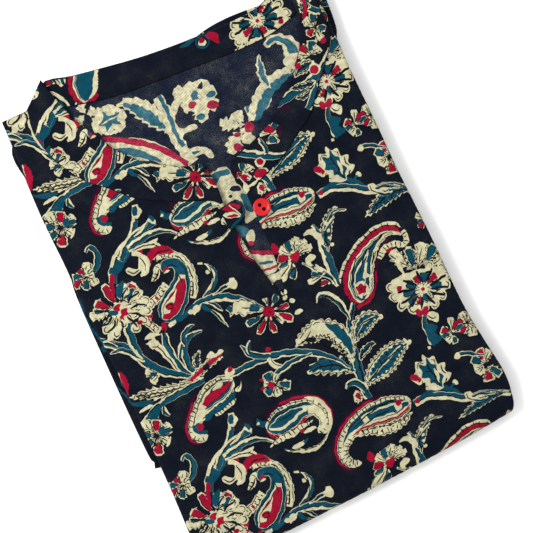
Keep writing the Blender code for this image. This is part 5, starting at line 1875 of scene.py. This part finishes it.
def make_loop(items, material):
    ring = rounded(np.array(LOOP_TAB), lambda length: min(2.4 / length, 0.45), 5)
    closed = np.vstack([ring, ring[:1]])
    top = FRONT_TOP + 2 * RIPPLE + GAP + BAND_WALL

    def place(points):
        gap, _ = nearest(points, closed, 4.0)
        z = top - turned_down(gap, 0.9) + 0.2 * np.exp(-(((gap - 1.4) / 0.8) ** 2))
        z -= 0.25 * smooth((points[:, 0] - 2) / 8)
        return np.column_stack([points, z])

    cloth = Cloth()
    cloth.printed(ring, place, items, 1.2, (0.1, 0.3, 0.6, 1.0))
    edge = place(closed)
    cloth.strip([(point, point - (0, 0, 0.5), point - (0, 0, 1.1)) for point in edge[::-1]], TEAL)
    made = cloth.make("loop_tab", [material], "button_loop", 1)
    return made


# Across the top of the button.   share of the radius, height as a share of the button's
BUTTON_PROFILE = (
    (0.0, 0.74), (0.55, 0.75), (0.64, 0.80), (0.72, 0.93), (0.79, 0.985), (0.85, 1.0), (0.91, 0.97),
    (0.96, 0.88), (0.99, 0.76), (1.0, 0.62),
)  # fmt: skip
# Down its side and in underneath
BUTTON_SIDE = ((1.0, 0.62), (1.0, 0.45), (0.97, 0.3), (0.9, 0.14), (0.78, 0.02), (0.4, 0.0), (0.0, 0.0))
BUTTON_RINGS = (0.995, 0.98, 0.955, 0.92, 0.88, 0.84, 0.8, 0.76, 0.72, 0.68, 0.64, 0.58)
HOLE_TURN, HOLE_REACH, HOLE_RADIUS = math.radians(112.0), 2.0, 1.3


def circle(centre, radius, turn):
    return centre + radius * np.stack([np.cos(turn), np.sin(turn)], 1)


def make_button(material, shade):
    """A rimmed button with two holes; shade is what shows at their bottom."""
    low, height = BUTTON_LOW[2], (BUTTON_HIGH - BUTTON_LOW)[2]
    turn = np.linspace(0, 2 * math.pi, 96, endpoint=False)
    ring = circle(BUTTON_AT, BUTTON_RADIUS, turn)
    reach = HOLE_REACH * np.array((math.cos(HOLE_TURN), math.sin(HOLE_TURN)))
    centres = [BUTTON_AT + reach, BUTTON_AT - reach]
    few = turn[::4]
    holes = [circle(centre, HOLE_RADIUS, few) for centre in centres]

    def place(points):
        share = np.linalg.norm(points - BUTTON_AT, axis=1) / BUTTON_RADIUS
        z = low + height * table(BUTTON_PROFILE, share)
        for centre in centres:
            z -= turned_down(np.linalg.norm(points - centre, axis=1) - HOLE_RADIUS, 0.4)
        return np.column_stack([points, z])

    rings = [circle(BUTTON_AT, BUTTON_RADIUS * share, turn) for share in BUTTON_RINGS]
    rims = [circle(centre, HOLE_RADIUS + gap, few) for centre in centres for gap in (0.08, 0.2, 0.4)]
    items = [(RED, ring), *((NAVY, hole) for hole in holes)]
    flat, faces, inks = triangulate(ring, items, np.vstack([*rings, *rims]))
    kept = inks == RED
    cloth = Cloth()
    cloth.add(place(flat), faces[kept], RED, flat, normals_of(place, flat, 0.01))
    closed = np.vstack([ring, ring[:1]])
    side = [
        [(*BUTTON_AT + (point - BUTTON_AT) * r, low + height * h) for r, h in BUTTON_SIDE]
        for point in closed[::-1]
    ]
    cloth.strip(side, RED)
    for hole in holes:
        wall = np.vstack([hole, hole[:1]])
        rim = list(zip(wall, place(wall)[:, 2]))
        middle = wall.mean(0)
        cloth.strip([((*point, z), (*point, z - 0.3), (*point, z - 0.6)) for point, z in rim], RED)
        bottom = [((*point, z - 0.6), (*point, z - 1.0), (*middle, z - 1.0)) for point, z in rim]
        cloth.strip(bottom, NAVY, slot=1)
    return cloth.make("red_button", [material, shade], "button", 1)


# ------------------------------------------------------------------ materials

# Each ink, in the order of its code, on the right side and on the wrong side of the cloth, in sRGB
RIGHT_SIDE = ((11, 16, 27), (185, 180, 146), (6, 61, 78), (138, 9, 40), (12, 10, 13), (40, 6, 30))
WRONG_SIDE = ((22, 29, 46), (196, 190, 156), (44, 94, 110), (150, 26, 58), (34, 36, 40), (50, 18, 38))

TWILL_TURN, TWILL_PITCH = math.radians(70.0), 1.5


def linear(colour):
    """An sRGB colour, out of 255, as the linear one that a shader takes."""
    return [(c / 255 / 12.92 if c <= 10 else ((c / 255 + 0.055) / 1.055) ** 2.4) for c in colour]


class Nodes:
    """A material's nodes, made and linked in short calls."""

    def __init__(self, name):
        self.material = bpy.data.materials.new(name)
        self.material.use_nodes = True
        self.tree = self.material.node_tree
        self.shader = self.tree.nodes["Principled BSDF"]

    def add(self, kind, links=None, **values):
        node = self.tree.nodes.new(kind)
        for key, value in values.items():
            setattr(node, key, value)
        for key, value in (links or {}).items():
            self.feed(node.inputs[key], value)
        return node

    def feed(self, socket, value):
        if isinstance(value, bpy.types.NodeSocket):
            self.tree.links.new(value, socket)
        else:
            socket.default_value = value

    def threads(self, pitch, axis, coords):
        """Ridges that run one way across the cloth, as a height."""
        inputs = {"Vector": coords, "Scale": 0.31416 / pitch, "Distortion": 0.6, "Detail": 1.0}
        inputs["Detail Scale"] = 0.4
        node = self.add("ShaderNodeTexWave", inputs, wave_type="BANDS", bands_direction=axis)
        return node.outputs["Fac"]

    def noise(self, coords, scale, detail=2.0):
        inputs = {"Vector": coords, "Scale": scale, "Detail": detail}
        return self.add("ShaderNodeTexNoise", inputs).outputs["Fac"]

    def between(self, value, low, high, to_low, to_high):
        inputs = {"Value": value, "From Min": low, "From Max": high, "To Min": to_low, "To Max": to_high}
        return self.add("ShaderNodeMapRange", inputs).outputs["Result"]

    def blend(self, share, a, b, mode="MIX"):
        node = self.add("ShaderNodeMix", data_type="RGBA", blend_type=mode)
        self.feed(node.inputs[0], share)
        self.feed(node.inputs[6], a)
        self.feed(node.inputs[7], b)
        return node.outputs[2]

    def sum(self, a, b, operation="ADD"):
        node = self.add("ShaderNodeMath", operation=operation)
        self.feed(node.inputs[0], a)
        self.feed(node.inputs[1], b)
        return node.outputs[0]


def cotton(name, inks, wear, pitch, relief, twill, mottle, fade):
    """Printed cotton: an ink on each face, worn along the threads, with a fine diagonal in the weave.

    wear and fade are how much cream and how much ground show through at most, pitch is in mm,
    relief is the strength of the threads' bumps, twill and mottle are how far those two darken it; the
    twill's darkening is painted shade of the diagonal's relief.
    """
    n = Nodes(name)
    coords = n.add("ShaderNodeUVMap", uv_map="thread").outputs["UV"]
    code = n.add("ShaderNodeAttribute", attribute_name="ink").outputs["Fac"]
    ramp = n.add("ShaderNodeValToRGB", {"Fac": n.sum(code, 1 / len(inks), "MULTIPLY")})
    ramp.color_ramp.interpolation = "CONSTANT"
    steps = ramp.color_ramp.elements
    while len(steps) < len(inks):
        steps.new(0.5)
    for k, colour in enumerate(inks):
        steps[k].position = k / len(inks)
        steps[k].color = (*linear(colour), 1.0)
    warp = n.threads(pitch, "X", coords)
    weft = n.threads(pitch, "Y", coords)
    weave = n.sum(warp, weft, "MULTIPLY")
    patches = n.noise(coords, 0.06, 3.0)
    grain = n.noise(coords, 1.7, 3.0)
    dry = n.between(n.sum(grain, n.sum(patches, 0.5, "MULTIPLY")), 0.80, 1.02, 0.0, wear)
    faint = n.between(n.noise(coords, 0.55, 4.0), 0.50, 0.72, 0.0, fade)
    inked = n.blend(faint, ramp.outputs["Color"], (*linear(inks[NAVY]), 1.0))
    colour = n.blend(dry, inked, (*linear(inks[CREAM]), 1.0))
    cloudy = n.between(patches, 0.3, 0.7, 0.86, 1.1)
    shade = n.sum(cloudy, n.between(grain, 0.25, 0.75, 0.9, 1.08), "MULTIPLY")
    # The weave's crossings lighten the colour and the gaps between threads darken it, 0.84 to 1.10: painted
    # shade of the weave's relief.
    shade = n.sum(shade, n.between(weave, 0.0, 1.0, 0.84, 1.10), "MULTIPLY")
    # The twill diagonal darkens the colour along its grooves: painted shade of the twill's relief.
    turned = n.add("ShaderNodeMapping", {"Vector": coords, "Rotation": (0.0, 0.0, TWILL_TURN)})
    diagonal = n.threads(TWILL_PITCH, "X", turned.outputs["Vector"])
    shade = n.sum(shade, n.between(diagonal, 0.0, 1.0, 1.0 - twill, 1.0 + 0.6 * twill), "MULTIPLY")
    blotch = n.noise(coords, 0.28, 3.0)
    shade = n.sum(shade, n.between(blotch, 0.38, 0.62, 1.0 - mottle, 1.05), "MULTIPLY")
    grey = n.add("ShaderNodeCombineColor", {"Red": shade, "Green": shade, "Blue": shade}).outputs["Color"]
    n.feed(n.shader.inputs["Base Color"], n.blend(1.0, colour, grey, "MULTIPLY"))
    n.feed(n.shader.inputs["Roughness"], n.between(grain, 0.3, 0.7, 0.72, 0.92))
    n.shader.inputs["Specular IOR Level"].default_value = 0.035
    n.shader.inputs["Sheen Weight"].default_value = 0.01
    n.shader.inputs["Sheen Roughness"].default_value = 0.45
    height = n.sum(n.sum(warp, weft), n.sum(grain, 1.2, "MULTIPLY"))
    bump = n.add("ShaderNodeBump", {"Strength": relief, "Distance": 0.0001, "Height": height})
    n.feed(n.shader.inputs["Normal"], bump.outputs["Normal"])
    return n.material


def plastic(name):
    """Moulded red plastic, a little cloudy and fairly glossy."""
    n = Nodes(name)
    coords = n.add("ShaderNodeTexCoord").outputs["Object"]
    cloud = n.noise(coords, 260.0, 2.0)
    red = n.blend(cloud, (*linear((172, 3, 14)), 1.0), (*linear((184, 6, 18)), 1.0))
    n.feed(n.shader.inputs["Base Color"], red)
    n.feed(n.shader.inputs["Roughness"], n.between(n.noise(coords, 900.0), 0.3, 0.7, 0.22, 0.36))
    n.shader.inputs["Specular IOR Level"].default_value = 0.3
    n.shader.inputs["Coat Weight"].default_value = 0.06
    n.shader.inputs["Coat Roughness"].default_value = 0.12
    bump = n.add("ShaderNodeBump", {"Strength": 0.15, "Distance": 0.00005, "Height": n.noise(coords, 1500.0)})
    n.feed(n.shader.inputs["Normal"], bump.outputs["Normal"])
    return n.material


def floor_finish():
    """A matt, nearly white floor."""
    n = Nodes("pale_floor")
    coords = n.add("ShaderNodeTexCoord").outputs["Object"]
    white = n.blend(n.noise(coords, 3.0), (0.93, 0.93, 0.93, 1.0), (0.95, 0.95, 0.95, 1.0))
    n.feed(n.shader.inputs["Base Color"], white)
    n.shader.inputs["Roughness"].default_value = 0.9
    n.shader.inputs["Specular IOR Level"].default_value = 0.1
    return n.material


# ------------------------------------------------------------------ stage

FLOOR_HALF = 2.0
# Soft lamps aimed at the middle.   name, power in W, size and place in m
LAMPS = (("window", 20.0, 0.6, (-0.75, 0.55, 0.95)), ("fill", 2.0, 1.2, (0.8, -0.6, 1.2)))
# The camera looks down at the tunic, turned so that its collar points up and to the right.
CAMERA_TARGET = np.array((6.5, 0.1, 14.0))
CAMERA_UP = np.array((0.42, 0.907))
CAMERA_ELEVATION = math.radians(88.0)
CAMERA_DISTANCE = 2000.0
VIEW_WIDTH = 372.0


def make_stage():
    mesh = bpy.data.meshes.new("floor")
    corners = ((-1, -1), (1, -1), (1, 1), (-1, 1))
    mesh.from_pydata([(FLOOR_HALF * x, FLOOR_HALF * y, 0.0) for x, y in corners], [], [(0, 1, 2, 3)])
    mesh.materials.append(floor_finish())
    floor = bpy.data.objects.new("floor", mesh)
    bpy.context.scene.collection.objects.link(floor)


def make_lamp(name, energy, size, place):
    lamp = bpy.data.lights.new(name, "AREA")
    lamp.energy = energy
    lamp.size = size
    holder = bpy.data.objects.new(name, lamp)
    holder.location = place
    holder.rotation_euler = (-Vector(place)).to_track_quat("-Z", "Y").to_euler()
    bpy.context.scene.collection.objects.link(holder)


def make_camera():
    up = np.array((*CAMERA_UP / np.linalg.norm(CAMERA_UP), 0.0))
    back = np.array((*(-up[:2] * math.cos(CAMERA_ELEVATION)), math.sin(CAMERA_ELEVATION)))
    data = bpy.data.cameras.new("camera")
    data.sensor_width = 36.0
    data.lens = data.sensor_width * CAMERA_DISTANCE / VIEW_WIDTH
    data.clip_start, data.clip_end = 0.1, 10.0
    camera = bpy.data.objects.new("camera", data)
    camera.location = to_frame(CAMERA_TARGET + CAMERA_DISTANCE * back)
    right = np.cross(up, back)
    right /= np.linalg.norm(right)
    upward = np.cross(back, right)
    turn = Matrix(np.stack([right, upward, back], 1).tolist())
    camera.rotation_mode = "QUATERNION"
    camera.rotation_quaternion = turn.to_quaternion()
    bpy.context.scene.collection.objects.link(camera)
    bpy.context.scene.camera = camera


def light_scene():
    world = bpy.data.worlds.new("soft_studio")
    world.use_nodes = True
    sky = world.node_tree.nodes["Background"]
    sky.inputs["Color"].default_value = (1.0, 1.0, 1.0, 1.0)
    sky.inputs["Strength"].default_value = 1.0
    bpy.context.scene.world = world
    for lamp in LAMPS:
        make_lamp(*lamp)
    bpy.context.scene.view_settings.view_transform = "Standard"


# ------------------------------------------------------------------ putting it together


def make_bands(drawn, material):
    """The neck bands, each cut from its own part of the repeat."""
    over_neck = np.array((-125.0, 50.0)), np.array((20.0, 190.0))
    left = tiled(drawn, *over_neck, None, (-7.0, 107.0))
    make_band("neck_band_left", BAND_LEFT, front_height, left, material)
    back_left = tiled(drawn, np.array((-86.0, 145.0)), np.array((-62.0, 190.0)), None, (-116.0, 48.0))
    back_right = tiled(
        drawn, np.array((48.0, 140.0)), np.array((101.0, 190.0)), ((-1, 0), (0, -1)), (172.0, 99.0),
    )
    back = [*back_left, *back_right, *print_back_middle()]
    make_band("neck_band_back", BAND_BACK, back_height, back, material)
    right = print_right_band()
    make_band("neck_band_right", BAND_RIGHT, front_height, right, material)


def main():
    draw_print()
    drawn = list(DRAWN)
    cloth = cotton("printed_cotton", RIGHT_SIDE, 0.04, 0.62, 0.7, 0.05, 0.16, 0.10)
    faded = cotton("printed_cotton_wrong_side", WRONG_SIDE, 0.22, 0.95, 1.0, 0.15, 0.30, 0.40)
    make_front(drawn, cloth)
    make_underside(drawn, cloth)
    make_bands(drawn, cloth)
    make_back(faded)
    # The left sleeve's strip lies under the front's rolled edge: its print keeps only the dark inks, teal and
    # line, as painted shade.
    shaded_dark_inks = [item for item in drawn if item[0] in (TEAL, LINE)]
    make_sleeve("sleeve_left", SLEEVE_LEFT, shaded_dark_inks, (-30.0, 20.0), cloth)
    make_sleeve("sleeve_right", SLEEVE_RIGHT, drawn, (40.0, 60.0), cloth)
    make_hidden(drawn, cloth)
    make_loop(print_loop_tab(), cloth)
    make_button(plastic("red_plastic"), cloth)
    make_stage()
    light_scene()
    make_camera()


main()
bpy.context.view_layer.update()
